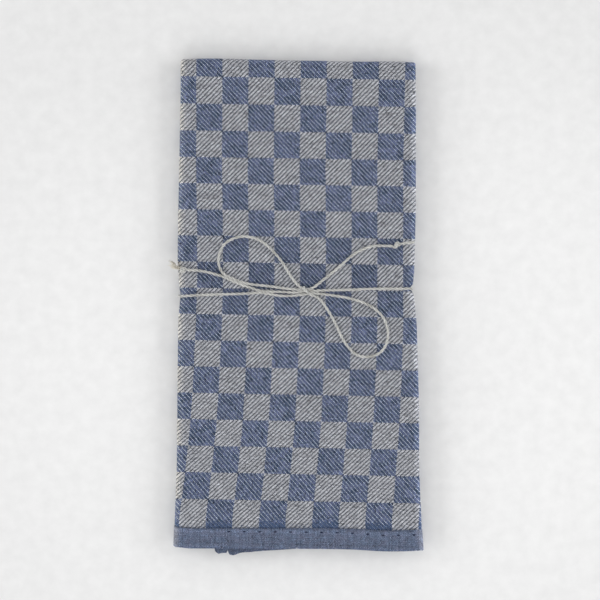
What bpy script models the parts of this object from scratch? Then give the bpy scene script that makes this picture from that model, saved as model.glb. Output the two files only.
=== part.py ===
"""A hemmed tea towel, folded in three across and in half along, tied round its middle with twine.

Units are metres, +Z up. The folded towel lies flat at z = 0 with its hems at -Y and its turned
end at +Y. The origin is at the middle of the towel's underside.
"""

import math

import bmesh
import bpy
from mathutils import Vector

MM = 0.001

# The cloth
CLOTH_THICKNESS = 1.0 * MM
HEM_THICKNESS = 1.5 * MM
HEM_WIDTH = 14.0 * MM
HEM_STEP = 1.5 * MM  # over which the hem thins to the single cloth
PLY_PITCH = 2.0 * MM  # from the middle of one layer to the middle of the next
PLIES_EACH_WAY = 3  # the strip is three plies, and it is folded in half
HALF_STACK = (PLIES_EACH_WAY - 0.5) * PLY_PITCH + CLOTH_THICKNESS / 2
STACK = 2 * HALF_STACK

# Where the sheet has its points: shares of the width from the inner flap's free edge to the outer
# flap's, mm from the groove, and shares of the way from hem to groove and from groove to turn
INNER_FLAP = (0.17, 0.24, 0.36, 0.51, 0.67, 0.84, 1.0)
RIGHT_FOLD_STEPS = 5
PANEL = (0.9, 0.78, 0.66, 0.54, 0.42, 0.3, 0.2, 0.12, 0.06, 0.0)
LEFT_FOLD_STEPS = 7
OUTER_FLAP = (0.09, 0.2, 0.33, 0.46, 0.6, 0.73, 0.86, 0.955)
HEM_TO_GROOVE = (0.22, 0.4, 0.58, 0.76, 0.9)
OVER_GROOVE = (-9.0, -5.8, -3.6, -1.6, 1.6, 3.6, 5.8, 9.0)
GROOVE_TO_TURN = (0.12, 0.28, 0.44, 0.6, 0.76, 0.9, 1.0)
TURN_STEPS = 9

# The folded outline: y, left edge and right edge, in mm
SIDE_EDGES = (
    (173.0, -82.2, 82.0),
    (140.0, -82.5, 82.6),
    (68.0, -84.0, 82.6),
    (32.0, -84.6, 82.4),
    (-10.0, -84.1, 83.0),
    (-66.0, -84.7, 84.4),
    (-116.0, -85.1, 85.1),
    (-154.0, -86.7, 86.5),
    (-171.0, -87.5, 87.5),
)
# The turned end and the hems: share of the width, then y of each line, in mm
TURNED_END = ((0.0, 172.4), (0.1, 173.0), (0.5, 172.3), (0.75, 172.0), (0.9, 171.4), (1.0, 170.0))
TOP_HEM = ((0.0, -167.9), (0.06, -169.3), (0.3, -169.4), (0.6, -169.7), (0.85, -170.8), (1.0, -169.9))
INNER_HEM = ((0.17, -171.6), (0.24, -173.0), (0.36, -171.6), (0.51, -169.4), (1.0, -167.6))
OUTER_HEM = ((0.0, -167.2), (0.5, -168.0), (1.0, -168.6))
LOWER_HEM = ((0.0, -166.9), (0.4, -168.3), (1.0, -168.0))

# The string's groove, which runs slightly uphill from left to right
BAND_MIDDLE_Y = 9.5 * MM
BAND_SLOPE = 0.0325
BAND_LIFT = 2.3 * MM  # room for the string under the cloth
BAND_DIP = 0.3 * MM  # how far it draws the top down
BAND_FLAT = 1.6 * MM  # half the width of the groove's roof
BAND_FADE = 8.0 * MM  # over which its side slopes down
DIP_REACH = 11.0 * MM
PINCH = 1.2 * MM  # how far it draws each side in

# Soft unevenness of the top: middle x and y, reach across and along, height, in mm
SWELLS = (
    (-74.0, 60.0, 22.0, 150.0, -0.9),
    (-76.0, -90.0, 22.0, 120.0, -1.0),
    (10.0, 110.0, 60.0, 50.0, 0.45),
    (-20.0, -40.0, 45.0, 34.0, -0.3),
    (40.0, -95.0, 50.0, 45.0, 0.4),
    (-45.0, -140.0, 50.0, 22.0, 0.35),
    (62.0, 40.0, 30.0, 40.0, -0.3),
)

# The twine
TWINE_DIAMETER = 1.9 * MM
TWINE_RADIUS = TWINE_DIAMETER / 2
TWINE_STEP = 3.1 * TWINE_DIAMETER
TWINE_TURN = math.radians(40.0)  # the most that it bends between two points
TWINE_STEPS = 12  # fine steps between two points of a route
FLOOR_GAP = 0.05 * MM
GAP = 0.3 * MM
CORNER_GAP = 0.55 * MM  # between the band and the towel's corners
BOW_KNOT = Vector((6.6, 10.0, 0.0)) * MM
BOW_KNOT_SIZE = Vector((4.2, 3.0, 2.0)) * MM  # half lengths
END_KNOT_SIZE = Vector((1.9, 1.6, 1.4)) * MM
KNOT_SEGMENTS = 14
KNOT_RINGS = 8
CORNER_ANGLES = (90.0, 60.0, 30.0, 0.0)
UNDER_STEPS = 8
LEFT_END_KNOT = Vector((-82.0, 26.2, 0.0)) * MM
RIGHT_END_KNOT = Vector((68.6, 42.2, 0.0)) * MM

# Routes over the top of the towel: x, y and height above the lying twine, in mm
BAND_TOP_LEFT = (
    (3.0, 9.1, 0.0), (-2.0, 9.0, 0.0), (-9.1, 8.9, 0.0), (-18.5, 9.1, 0.0), (-26.0, 9.2, 0.0),
    (-34.1, 9.0, 0.0), (-52.9, 8.3, 0.0), (-71.6, 7.6, 0.0),
)
BAND_TOP_RIGHT = (
    (73.4, 12.1, 0.0), (64.7, 12.2, 0.0), (54.7, 12.2, 0.0), (46.0, 11.8, 0.0), (35.9, 11.3, 0.0),
    (26.5, 11.0, 0.0), (17.9, 10.8, 0.0), (11.5, 10.9, 0.0), (9.0, 10.8, 0.0),
)
LOOP_LEFT = (
    (3.5, 11.6, 0.0), (-3.0, 11.4, 0.0), (-15.4, 12.5, 0.0), (-21.6, 13.1, 0.0), (-34.1, 15.0, 0.0),
    (-42.0, 17.4, 0.0), (-48.3, 20.2, 0.0), (-51.0, 22.1, 0.0), (-54.1, 25.1, 0.0), (-55.7, 29.4, 0.0),
    (-56.0, 33.8, 0.0), (-54.7, 38.8, 0.0), (-52.2, 42.6, 0.0), (-48.4, 45.7, 0.0), (-43.5, 47.9, 0.0),
    (-38.5, 48.5, 0.0), (-34.1, 48.3, 0.0), (-29.1, 47.3, 0.0), (-24.7, 45.1, 0.0), (-19.7, 41.3, 0.0),
    (-15.3, 37.0, 0.0), (-12.3, 33.2, 0.0), (-9.1, 28.2, 0.0), (-6.6, 23.2, 0.0), (-2.9, 16.9, 0.0),
    (0.6, 13.9, 0.0), (3.0, 12.6, 0.4),
)
LOOP_RIGHT = (
    (10.0, 8.6, 0.0), (13.0, 8.2, 0.0), (17.9, 8.1, 0.0), (24.5, 7.4, 0.0), (31.2, 6.4, 0.0),
    (37.9, 4.8, 0.0), (45.3, 2.5, 0.0), (52.0, -0.9, 0.0), (56.7, -4.6, 0.0), (60.1, -8.9, 0.0),
    (62.4, -14.9, 0.0), (63.1, -20.3, 0.0), (62.0, -26.3, 0.0), (58.7, -31.7, 0.0), (54.7, -34.4, 0.0),
    (49.3, -35.7, 0.0), (44.0, -35.4, 0.0), (39.9, -33.7, 0.0), (35.9, -29.7, 0.0), (31.9, -24.3, 0.0),
    (29.2, -19.0, 0.0), (26.5, -13.0, 0.0), (23.9, -6.2, 0.0), (21.2, -1.5, 0.0), (17.9, 2.6, 0.0),
    (13.7, 5.7, 0.0), (9.0, 7.2, 0.0),
)
TAIL_LEFT = (
    (2.5, 6.7, 0.0), (-2.8, 6.4, 0.0), (-9.1, 6.3, 0.0), (-15.0, 6.7, 0.7), (-19.5, 7.4, 2.3),
    (-25.9, 9.4, 2.4), (-31.0, 11.2, 1.9), (-37.5, 13.2, 0.3), (-46.8, 16.9, 0.0), (-53.2, 19.6, 0.0),
    (-61.0, 22.5, 0.0), (-68.6, 24.2, 0.0), (-76.0, 25.3, 0.0), (-82.0, 26.2, 0.0),
)
TAIL_RIGHT = (
    (8.5, 12.3, 0.0), (10.6, 13.3, 0.0), (15.2, 16.5, 0.0), (21.2, 20.9, 0.0), (25.9, 24.6, 0.0),
    (30.6, 28.3, 0.0), (34.6, 31.9, 0.0), (39.9, 36.6, 0.0), (45.3, 39.3, 0.0), (52.6, 41.7, 0.0),
    (58.7, 42.1, 0.0), (65.4, 41.9, 0.0), (68.6, 42.2, 0.0),
)
END_LEFT = ((-82.0, 26.2, 0.0), (-84.5, 28.1, -0.1), (-87.0, 30.0, -0.5), (-88.5, 31.0, -0.8))
END_RIGHT = ((68.6, 42.2, 0.0), (71.8, 43.3, 0.0), (76.8, 44.1, 0.0), (81.0, 44.4, 0.0))


def from_table(table, place):
    """Read a table of (place, value) rows, with straight lines between its rows."""
    rows = sorted(table)
    if place <= rows[0][0]:
        return rows[0][1]
    for (low, low_value), (high, high_value) in zip(rows, rows[1:]):
        if place <= high:
            share = (place - low) / (high - low)
            return low_value + (high_value - low_value) * share
    return rows[-1][1]


def eased(share):
    """Turn a share from 0 to 1 into a smooth step from 0 to 1."""
    share = min(max(share, 0.0), 1.0)
    return share * share * (3.0 - 2.0 * share)


def band_y(x):
    return BAND_MIDDLE_Y + BAND_SLOPE * x


def side_edge(y, column):
    """The left (column 1) or right (column 2) edge of the folded towel at y."""
    edge = from_table([(row[0], row[column]) for row in SIDE_EDGES], y / MM) * MM
    distance = y - band_y(edge)
    pinch = PINCH * math.exp(-((distance / DIP_REACH) ** 2))
    return edge + pinch if column == 1 else edge - pinch


def swell(x, y):
    """How far the top stands above or below its mean height."""
    height = 0.0
    for middle_x, middle_y, reach_x, reach_y, rise in SWELLS:
        across = (x / MM - middle_x) / reach_x
        along = (y / MM - middle_y) / reach_y
        height += rise * math.exp(-across * across - along * along)
    return height * MM


def settled(x, y, z, in_hem=0.0):
    """Press a point of the even stack to its uneven height, flat at the bottom but for the groove."""
    low = CLOTH_THICKNESS / 2
    share = (z - low) / (STACK - CLOTH_THICKNESS)
    distance = abs(y - band_y(x))
    lift = BAND_LIFT * (1.0 - eased((distance - BAND_FLAT) / BAND_FADE))
    lift += in_hem * (HEM_THICKNESS - CLOTH_THICKNESS) / 2
    dip = BAND_DIP * math.exp(-((distance / DIP_REACH) ** 2))
    return z + lift * (1.0 - share) + (swell(x, y) - dip) * share


def top_of_cloth(x, y):
    return settled(x, y, STACK - CLOTH_THICKNESS / 2) + CLOTH_THICKNESS / 2


def steps(start, end, count):
    """Evenly spaced numbers from start to end, without start itself."""
    return [start + (end - start) * (i + 1) / count for i in range(count)]


def strip_section():
    """The three-ply strip seen end on, from the inner flap's free edge to the outer flap's.

    Each point is its share of the width, its bulge beyond the side's fold line, its height over
    the middle of the stack, and the hem line that ends it.
    """
    outer, inner, panel = [(ply + 0.5) * PLY_PITCH for ply in range(PLIES_EACH_WAY)]
    points = [(share, 0.0, inner, INNER_HEM) for share in INNER_FLAP]
    radius = (panel - inner) / 2
    for angle in steps(-90.0, 90.0, RIGHT_FOLD_STEPS):
        turn = math.radians(angle)
        points.append((1.0, radius * math.cos(turn), inner + radius * (1.0 + math.sin(turn)), TOP_HEM))
    points += [(share, 0.0, panel, TOP_HEM) for share in PANEL]
    radius = (panel - outer) / 2
    for angle in steps(90.0, 270.0, LEFT_FOLD_STEPS):
        turn = math.radians(angle)
        points.append((0.0, radius * math.cos(turn), outer + radius * (1.0 + math.sin(turn)), OUTER_HEM))
    points += [(share, 0.0, outer, OUTER_HEM) for share in OUTER_FLAP]
    return points


def strip_stations():
    """Places along the strip: the upper half from its hem, the turn, then the lower half.

    Each is the half (1 above, -1 below), the anchor line it is measured from, how far along,
    and whether it lies in the hem.
    """
    half = [("hem", 0.0, 1.0), ("hem", HEM_WIDTH, 1.0), ("hem", HEM_WIDTH + HEM_STEP, 0.0)]
    half += [("open", share, 0.0) for share in HEM_TO_GROOVE]
    half += [("band", distance * MM, 0.0) for distance in OVER_GROOVE]
    half += [("far", share, 0.0) for share in GROOVE_TO_TURN]
    turn = [("turn", angle, 0.0) for angle in steps(90.0, -90.0, TURN_STEPS)[:-1]]
    above = [(1,) + station for station in half]
    around = [(0,) + station for station in turn]
    below = [(-1,) + station for station in reversed(half)]
    return above + around + below


def cloth_point(section_point, station):
    """Where a point of the strip's section lies at one station along the folded strip."""
    share, bulge, height, hem_table = section_point
    half, anchor, amount, in_hem = station
    turn_y = from_table(TURNED_END, share) * MM - HALF_STACK
    if half == 0:
        angle = math.radians(amount)
        y = turn_y + height * math.cos(angle)
        z = HALF_STACK + height * math.sin(angle)
    else:
        hem_y = from_table(hem_table if half > 0 else LOWER_HEM, share) * MM
        groove_y = band_y((share - 0.5) * 2 * side_edge(0.0, 2))
        if anchor == "hem":
            y = hem_y + amount
        elif anchor == "open":
            y = hem_y + (groove_y - hem_y) * amount
        elif anchor == "band":
            y = groove_y + amount
        else:
            y = groove_y + (turn_y - groove_y) * amount
        z = HALF_STACK + half * height
    fold_left = side_edge(y, 1) + PLY_PITCH + CLOTH_THICKNESS / 2
    fold_right = side_edge(y, 2) - PLY_PITCH / 2 - CLOTH_THICKNESS / 2
    x = fold_left + (fold_right - fold_left) * share + bulge
    return Vector((x, y, settled(x, y, z, in_hem)))


def make_material(name, colour, roughness):
    material = bpy.data.materials.new(name)
    material.use_nodes = True
    shader = material.node_tree.nodes["Principled BSDF"]
    shader.inputs["Base Color"].default_value = (*colour, 1.0)
    shader.inputs["Roughness"].default_value = roughness
    shader.inputs["Metallic"].default_value = 0.0
    material.diffuse_color = (*colour, 1.0)
    return material


def make_towel(collection, material):
    """One open sheet bent through all its folds, then given its thickness."""
    section = strip_section()
    stations = strip_stations()
    bm = bmesh.new()
    bmesh.ops.create_grid(bm, x_segments=len(section) - 1, y_segments=len(stations) - 1, size=1.0)
    in_hem = []
    for vert in bm.verts:
        column = round((vert.co.x + 1.0) / 2.0 * (len(section) - 1))
        row = round((vert.co.y + 1.0) / 2.0 * (len(stations) - 1))
        vert.co = cloth_point(section[column], stations[row])
        if stations[row][3]:
            in_hem.append(vert.index)
    mesh = bpy.data.meshes.new("towel")
    bm.to_mesh(mesh)
    bm.free()
    towel = bpy.data.objects.new("towel", mesh)
    collection.objects.link(towel)
    hem = towel.vertex_groups.new(name="hem")
    hem.add(in_hem, 1.0, "REPLACE")
    thickness = towel.modifiers.new("cloth", "SOLIDIFY")
    thickness.thickness = HEM_THICKNESS
    thickness.offset = 0.0
    thickness.vertex_group = "hem"
    thickness.thickness_vertex_group = CLOTH_THICKNESS / HEM_THICKNESS
    thickness.use_even_offset = True
    mesh.materials.append(material)
    mesh.shade_smooth()
    return towel


def smooth_route(points):
    """Points along a smooth curve through the route's own points, closer together in its bends."""
    ends = [points[0] * 2 - points[1]] + list(points) + [points[-1] * 2 - points[-2]]
    fine = []
    for before, start, end, after in zip(ends, ends[1:], ends[2:], ends[3:]):
        for t in (i / TWINE_STEPS for i in range(TWINE_STEPS)):
            fine.append(0.5 * (2 * start + (end - before) * t
                               + (2 * before - 5 * start + 4 * end - after) * t ** 2
                               + (3 * start - before - 3 * end + after) * t ** 3))
    fine.append(points[-1])
    headings = [(b - a).normalized() for a, b in zip(fine, fine[1:])]
    turns = [a.angle(b) for a, b in zip(headings, headings[1:])] + [0.0]
    spans = [(b - a).length / TWINE_STEP + turn / TWINE_TURN for a, b, turn in zip(fine, fine[1:], turns)]
    total = sum(spans)
    count = max(2, round(total))
    spaced = [fine[0]]
    travelled = 0.0
    for a, b, span in zip(fine, fine[1:], spans):
        while len(spaced) < count and travelled + span >= total * len(spaced) / count:
            spaced.append(a.lerp(b, (total * len(spaced) / count - travelled) / span))
        travelled += span
    return spaced + [fine[-1]]


def over_towel(route):
    """Lift a route's points, given in mm, to where twine lies on the cloth."""
    points = []
    for x, y, rise in route:
        height = top_of_cloth(x * MM, y * MM) + GAP + TWINE_RADIUS
        points.append(Vector((x * MM, y * MM, height + rise * MM)))
    return points


def knot_centre(place, size):
    return Vector((place.x, place.y, top_of_cloth(place.x, place.y) + GAP + size.z))


def outside_knot(end, towards, centre, size):
    """Whether a tube's end, facing along towards, stands clear of a knot by the gap."""
    side = towards.cross(Vector((0.0, 0.0, 1.0))).normalized()
    rise = side.cross(towards).normalized()
    for angle in range(0, 360, 45):
        turn = math.radians(angle)
        rim = end + (side * math.cos(turn) + rise * math.sin(turn)) * TWINE_RADIUS
        offset = rim - centre
        reach = Vector([part / (half + GAP) for part, half in zip(offset, size)])
        if reach.length < 1.0:
            return False
    return True


def trimmed(points, knots):
    """Shorten a route at either end until it stops a gap short of the knots."""
    points = list(points)
    for _ in range(2):
        for centre, size in knots:
            while (points[0] - centre).length < 3 * size.x:
                direction = (points[1] - points[0]).normalized()
                if outside_knot(points[0], direction, centre, size):
                    break
                if (points[1] - points[0]).length < GAP:
                    points.pop(0)
                else:
                    points[0] = points[0] + direction * GAP / 3
        points.reverse()
    return points


def make_twine(collection, material, name, points):
    curve = bpy.data.curves.new(name, "CURVE")
    curve.dimensions = "3D"
    curve.bevel_depth = TWINE_RADIUS
    curve.bevel_resolution = 2
    curve.use_fill_caps = True
    spline = curve.splines.new("POLY")
    spline.points.add(len(points) - 1)
    for point, place in zip(spline.points, points):
        point.co = (*place, 1.0)
    twine = bpy.data.objects.new(name, curve)
    collection.objects.link(twine)
    curve.materials.append(material)
    return twine


def make_knot(collection, material, name, centre, size):
    bm = bmesh.new()
    bmesh.ops.create_uvsphere(bm, u_segments=KNOT_SEGMENTS, v_segments=KNOT_RINGS, radius=1.0)
    for vert in bm.verts:
        vert.co = Vector([part * half for part, half in zip(vert.co, size)])
    mesh = bpy.data.meshes.new(name)
    bm.to_mesh(mesh)
    bm.free()
    knot = bpy.data.objects.new(name, mesh)
    knot.location = centre
    collection.objects.link(knot)
    mesh.materials.append(material)
    mesh.shade_smooth()
    return knot


def band_under():
    """The band's way down the left side, under the towel and up the right side."""
    left_x = side_edge(band_y(side_edge(0.0, 1)), 1)
    right_x = side_edge(band_y(side_edge(0.0, 2)), 2)
    floor = TWINE_RADIUS + FLOOR_GAP
    points = []
    for edge, sign, fold in ((left_x, -1, PLY_PITCH), (right_x, 1, PLY_PITCH / 2)):
        inner = fold + CLOTH_THICKNESS / 2
        bend = inner + CORNER_GAP + TWINE_RADIUS
        middle_x = edge - sign * inner
        y = band_y(edge)
        top = top_of_cloth(middle_x, y) + GAP + TWINE_RADIUS
        corner = []
        for angle in CORNER_ANGLES:
            turn = math.radians(angle)
            corner.append((bend * math.cos(turn), top - bend + bend * math.sin(turn)))
        for angle in reversed(CORNER_ANGLES):
            turn = math.radians(angle)
            corner.append((bend * math.cos(turn), floor + bend - bend * math.sin(turn)))
        points.append([Vector((middle_x + sign * out, y, z)) for out, z in corner])
    down, up = points
    across = []
    for share in steps(0.0, 1.0, UNDER_STEPS)[:-1]:
        x = down[-1].x + (up[-1].x - down[-1].x) * share
        across.append(Vector((x, band_y(x), floor)))
    return down + across + list(reversed(up))


def make_string(collection, material):
    bow = (knot_centre(BOW_KNOT, BOW_KNOT_SIZE), BOW_KNOT_SIZE)
    left = (knot_centre(LEFT_END_KNOT, END_KNOT_SIZE), END_KNOT_SIZE)
    right = (knot_centre(RIGHT_END_KNOT, END_KNOT_SIZE), END_KNOT_SIZE)
    for name, (centre, size) in (("bow_knot", bow), ("end_knot_left", left), ("end_knot_right", right)):
        make_knot(collection, material, name, centre, size)
    band = over_towel(BAND_TOP_LEFT) + band_under() + over_towel(BAND_TOP_RIGHT)
    routes = {
        "string_band": (band, (bow,)),
        "bow_loop_left": (over_towel(LOOP_LEFT), (bow,)),
        "bow_loop_right": (over_towel(LOOP_RIGHT), (bow,)),
        "tail_left": (over_towel(TAIL_LEFT), (bow, left)),
        "tail_right": (over_towel(TAIL_RIGHT), (bow, right)),
        "tail_end_left": (over_towel(END_LEFT), (left,)),
        "tail_end_right": (over_towel(END_RIGHT), (right,)),
    }
    for name, (route, knots) in routes.items():
        make_twine(collection, material, name, trimmed(smooth_route(route), knots))


def main():
    for obj in list(bpy.data.objects):
        bpy.data.objects.remove(obj, do_unlink=True)
    collection = bpy.data.collections.new("tea_towel")
    bpy.context.scene.collection.children.link(collection)
    cloth = make_material("blue_and_ecru_twill", (0.20, 0.23, 0.31), 0.85)
    twine = make_material("ecru_linen_twine", (0.62, 0.59, 0.50), 0.8)
    make_towel(collection, cloth)
    make_string(collection, twine)


main()
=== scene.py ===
# %% [markdown]
# # A folded tea towel tied with twine
#
# The object is one hemmed cloth, folded in three across and in half along, with a length of
# linen twine tied round it in a bow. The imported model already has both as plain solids. This
# lesson dresses them: the cloth gets its weave, hems and loose threads, the twine its two
# twisted plies. We load the model first, because each piece has to stay where its solid is.

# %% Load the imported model
import math

import bpy
import numpy as np
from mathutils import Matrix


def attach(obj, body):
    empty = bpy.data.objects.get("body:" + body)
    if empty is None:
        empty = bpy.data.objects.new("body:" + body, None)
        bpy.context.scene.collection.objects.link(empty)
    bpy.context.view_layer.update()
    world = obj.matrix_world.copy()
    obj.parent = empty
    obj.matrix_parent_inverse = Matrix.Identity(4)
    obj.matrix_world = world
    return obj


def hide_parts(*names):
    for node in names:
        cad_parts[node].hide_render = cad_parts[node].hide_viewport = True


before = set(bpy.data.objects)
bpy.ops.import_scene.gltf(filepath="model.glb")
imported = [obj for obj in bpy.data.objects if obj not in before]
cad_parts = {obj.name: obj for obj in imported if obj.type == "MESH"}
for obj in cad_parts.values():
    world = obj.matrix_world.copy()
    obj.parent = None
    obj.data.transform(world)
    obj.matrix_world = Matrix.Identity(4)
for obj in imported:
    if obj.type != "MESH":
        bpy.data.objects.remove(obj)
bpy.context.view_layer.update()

print("solids:", sorted(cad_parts))

# %% [markdown]
# ## Camera
#
# The towel was photographed from straight above, and its squares don't shrink towards the
# edges of the picture, so the lens was long. We could use an orthographic camera, but a long
# lens keeps the slight look into the folds that a real one has. It hangs over the towel's
# middle and takes in 0.42 m, which makes 0.7 mm a pixel on the towel's top.

# %% Make the camera
MM = 0.001
PIXEL = 0.7 * MM
PICTURE_PIXELS = 600
CAMERA_X, CAMERA_Y = 1.4 * MM, 4.06 * MM
CAMERA_HEIGHT = 2.4
TOWEL_TOP = 11.0 * MM
SENSOR = 36.0

camera_data = bpy.data.cameras.new("camera")
camera_data.sensor_width = SENSOR
camera_data.lens = SENSOR * (CAMERA_HEIGHT - TOWEL_TOP) / (PICTURE_PIXELS * PIXEL)
camera_data.clip_start = 0.05
camera_data.clip_end = 20.0
camera = bpy.data.objects.new("camera", camera_data)
camera.location = (CAMERA_X, CAMERA_Y, CAMERA_HEIGHT)
bpy.context.scene.collection.objects.link(camera)
bpy.context.scene.camera = camera
print("lens: %.1f mm" % camera_data.lens)

# %% [markdown]
# ## Colours and nodes
#
# Colours are noted as sRGB hex values, the way a paint chart gives them, and turned to the
# linear values that light is reckoned in. One small function adds a node, sets it up and links
# it, for materials and for Geometry Nodes alike.

# %% Helpers for colours, nodes, materials and pieces
COLOURS = {"data_type": "RGBA"}  # settings of a Mix node that lays one colour over another
TIMES = {"data_type": "RGBA", "blend_type": "MULTIPLY"}  # and of one that multiplies them


def linear(hex_colour):
    """Turn an sRGB hex colour into linear red, green, blue and a full alpha."""
    channels = [int(hex_colour[i:i + 2], 16) / 255 for i in (1, 3, 5)]
    return (*[c / 12.92 if c <= 0.04045 else ((c + 0.055) / 1.055) ** 2.4 for c in channels], 1.0)


def add(tree, kind, inputs=None, **settings):
    """Add a node. An input is a value, a hex colour, a socket or a node, whose first live output feeds it."""
    node = tree.nodes.new(kind)
    for name, value in settings.items():
        setattr(node, name, value)
    for name, value in (inputs or {}).items():
        if isinstance(value, bpy.types.Node):
            value = next(socket for socket in value.outputs if socket.enabled)
        if isinstance(value, bpy.types.NodeSocket):
            tree.links.new(value, node.inputs[name])
        elif isinstance(value, str) and value.startswith("#"):
            node.inputs[name].default_value = linear(value)
        else:
            node.inputs[name].default_value = value
    return node


def new_material(name):
    """A node material that is still empty, and its tree."""
    material = bpy.data.materials.new(name)
    material.use_nodes = True
    material.node_tree.nodes.clear()
    return material, material.node_tree


def end_material(material, inputs):
    """Close a material with its shader, which the inputs set or feed, and its output."""
    shader = add(material.node_tree, "ShaderNodeBsdfPrincipled", inputs)
    add(material.node_tree, "ShaderNodeOutputMaterial", {"Surface": shader})
    print("%s: %d nodes" % (material.name, len(material.node_tree.nodes)))


def add_piece(name, mesh, material):
    """Put a finished mesh in the scene, at the origin, with its material."""
    piece = bpy.data.objects.new(name, mesh)
    mesh.materials.clear()
    mesh.materials.append(material)
    bpy.context.scene.collection.objects.link(piece)
    return piece


# %% [markdown]
# ## Floor and light
#
# The towel lies on plain matt white paper under an even, bright sky of studio light. The only
# shade is a soft one round its foot, as deep beyond the turned end as along both sides, and
# weaker at the hems. So besides the sky there are wide soft panels standing low round the
# table: an even pair on the left and right, a weaker one before the hems and the weakest beyond
# the turned end. The paper's colour also holds painted light: it falls off away from a bright
# spot near its middle.

# %% Make the floor
FLOOR_SIZE = 6.0
PAPER_GRAIN = 9.0 * MM  # the size of the faint cloudiness in the paper
# painted light: a pool of light round a bright spot is painted into the paper's colour, falling off away from
# it
BRIGHT_SPOT = (0.06, -0.03)
BRIGHT_TALL = 1.5  # the bright spot is wider than it is tall
FALLOFF_FROM, FALLOFF_TO, FALLOFF_TONE = 0.14, 0.42, 0.925  # distances from the spot, and the tone beyond them

paper, tree = new_material("matt_white_paper")
# Paper is a mat of fibres: fully matt, with a faint cloudiness a few millimetres across
place = add(tree, "ShaderNodeTexCoord").outputs["Object"]
cloud = add(tree, "ShaderNodeTexNoise", {"Vector": place, "Scale": 1 / PAPER_GRAIN, "Detail": 5.0})
tone = add(tree, "ShaderNodeMix", {"Factor": cloud, "A": "#dedede", "B": "#eeeeee"}, **COLOURS)
# painted falloff of the light, multiplied into the paper's colour
centred = add(tree, "ShaderNodeMapping", {
    "Vector": place, "Location": (-BRIGHT_SPOT[0], -BRIGHT_SPOT[1] * BRIGHT_TALL, 0),
    "Scale": (1, BRIGHT_TALL, 1),
})
away = add(tree, "ShaderNodeVectorMath", {0: centred}, operation="LENGTH")
painted_falloff = add(tree, "ShaderNodeMapRange", {
    "Value": away, "From Min": FALLOFF_FROM, "From Max": FALLOFF_TO, "To Min": 1.0, "To Max": FALLOFF_TONE,
}, interpolation_type="SMOOTHSTEP")
tone = add(tree, "ShaderNodeMix", {"Factor": 1.0, "A": tone, "B": painted_falloff}, **TIMES)
end_material(paper, {"Base Color": tone, "Roughness": 0.95, "Specular IOR Level": 0.1})

half = FLOOR_SIZE / 2
floor_mesh = bpy.data.meshes.new("floor")
floor_corners = [(-half, -half, 0), (half, -half, 0), (half, half, 0), (-half, half, 0)]
floor_mesh.from_pydata(floor_corners, [], [(0, 1, 2, 3)])
floor = add_piece("floor", floor_mesh, paper)

# %% Make the light
SKY_STRENGTH = 0.495
PANEL_DISTANCE = 3.0
PANEL_SIZE = (3.0, 1.6)
PANELS = {  # where it stands: turn and rise in degrees, watts
    "left": (-90.0, 22.0, 56.0),
    "right": (90.0, 22.0, 55.0),
    "hems": (0.0, 28.0, 41.0),
    "far": (180.0, 18.0, 19.0),
}

bpy.context.scene.view_settings.view_transform = "Standard"
world = bpy.data.worlds.new("studio")
world.use_nodes = True
sky = world.node_tree.nodes["Background"].inputs
sky["Color"].default_value = (1.0, 1.0, 1.0, 1.0)
sky["Strength"].default_value = SKY_STRENGTH
bpy.context.scene.world = world

for side, (turn, rise, watts) in PANELS.items():
    panel_data = bpy.data.lights.new("soft_panel_" + side, "AREA")
    panel_data.shape = "RECTANGLE"
    panel_data.size, panel_data.size_y = PANEL_SIZE
    panel_data.energy = watts
    panel = bpy.data.objects.new("soft_panel_" + side, panel_data)
    turn, rise = math.radians(turn), math.radians(rise)
    way = (math.sin(turn) * math.cos(rise), -math.cos(turn) * math.cos(rise), math.sin(rise))
    panel.location = [PANEL_DISTANCE * part for part in way]
    panel.rotation_euler = (math.pi / 2 - rise, 0.0, turn)
    bpy.context.scene.collection.objects.link(panel)
print("light: sky %.3f and %d panels" % (SKY_STRENGTH, len(PANELS)))

# %% [markdown]
# ## The folded cloth's measures
#
# These are the model's own measures. The strip is three plies, 2 mm from middle to middle,
# folded in half: six plies and 11 mm. The side edges, the turned end and the hems are read from
# short tables, from left to right or along the strip.

# %% The measures
CLOTH_THICKNESS = 1.0 * MM
HEM_THICKNESS = 1.5 * MM
HEM_WIDTH = 14.0 * MM
PLY_PITCH = 2.0 * MM
HALF_STACK = 2.5 * PLY_PITCH + CLOTH_THICKNESS / 2
STACK = 2 * HALF_STACK
SIDE_EDGES = np.array((  # y, x of the left edge, x of the right edge
    (-171.0, -87.5, 87.9), (-154.0, -86.7, 86.7), (-116.0, -85.1, 85.0), (-66.0, -84.7, 84.8),
    (-14.0, -84.1, 83.3), (-3.0, -84.0, 82.5), (20.0, -83.9, 81.8), (32.0, -84.5, 81.9),
    (68.0, -84.0, 82.6), (140.0, -82.5, 82.7), (173.0, -82.2, 82.4),
)) * MM
TURNED_END = (  # share of the width from the left, y in mm, as in the hems' tables below
    (0.0, 173.2), (0.1, 173.6), (0.2, 173.4), (0.3, 172.8), (0.5, 172.1), (0.6, 171.9), (0.7, 171.5),
    (0.8, 171.3), (0.87, 171.6), (0.95, 171.3), (1.0, 170.8),
)
TOP_HEM = (
    (0.0, -169.0), (0.05, -170.0), (0.15, -170.0), (0.3, -170.1), (0.53, -170.2), (0.63, -170.4),
    (0.72, -170.7), (0.77, -171.2), (0.82, -171.8), (0.87, -172.1), (0.92, -172.0), (0.97, -171.7),
    (1.0, -171.4),
)
HEM_WIDENING = 0.06  # the hem is this share wider at its right end
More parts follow.
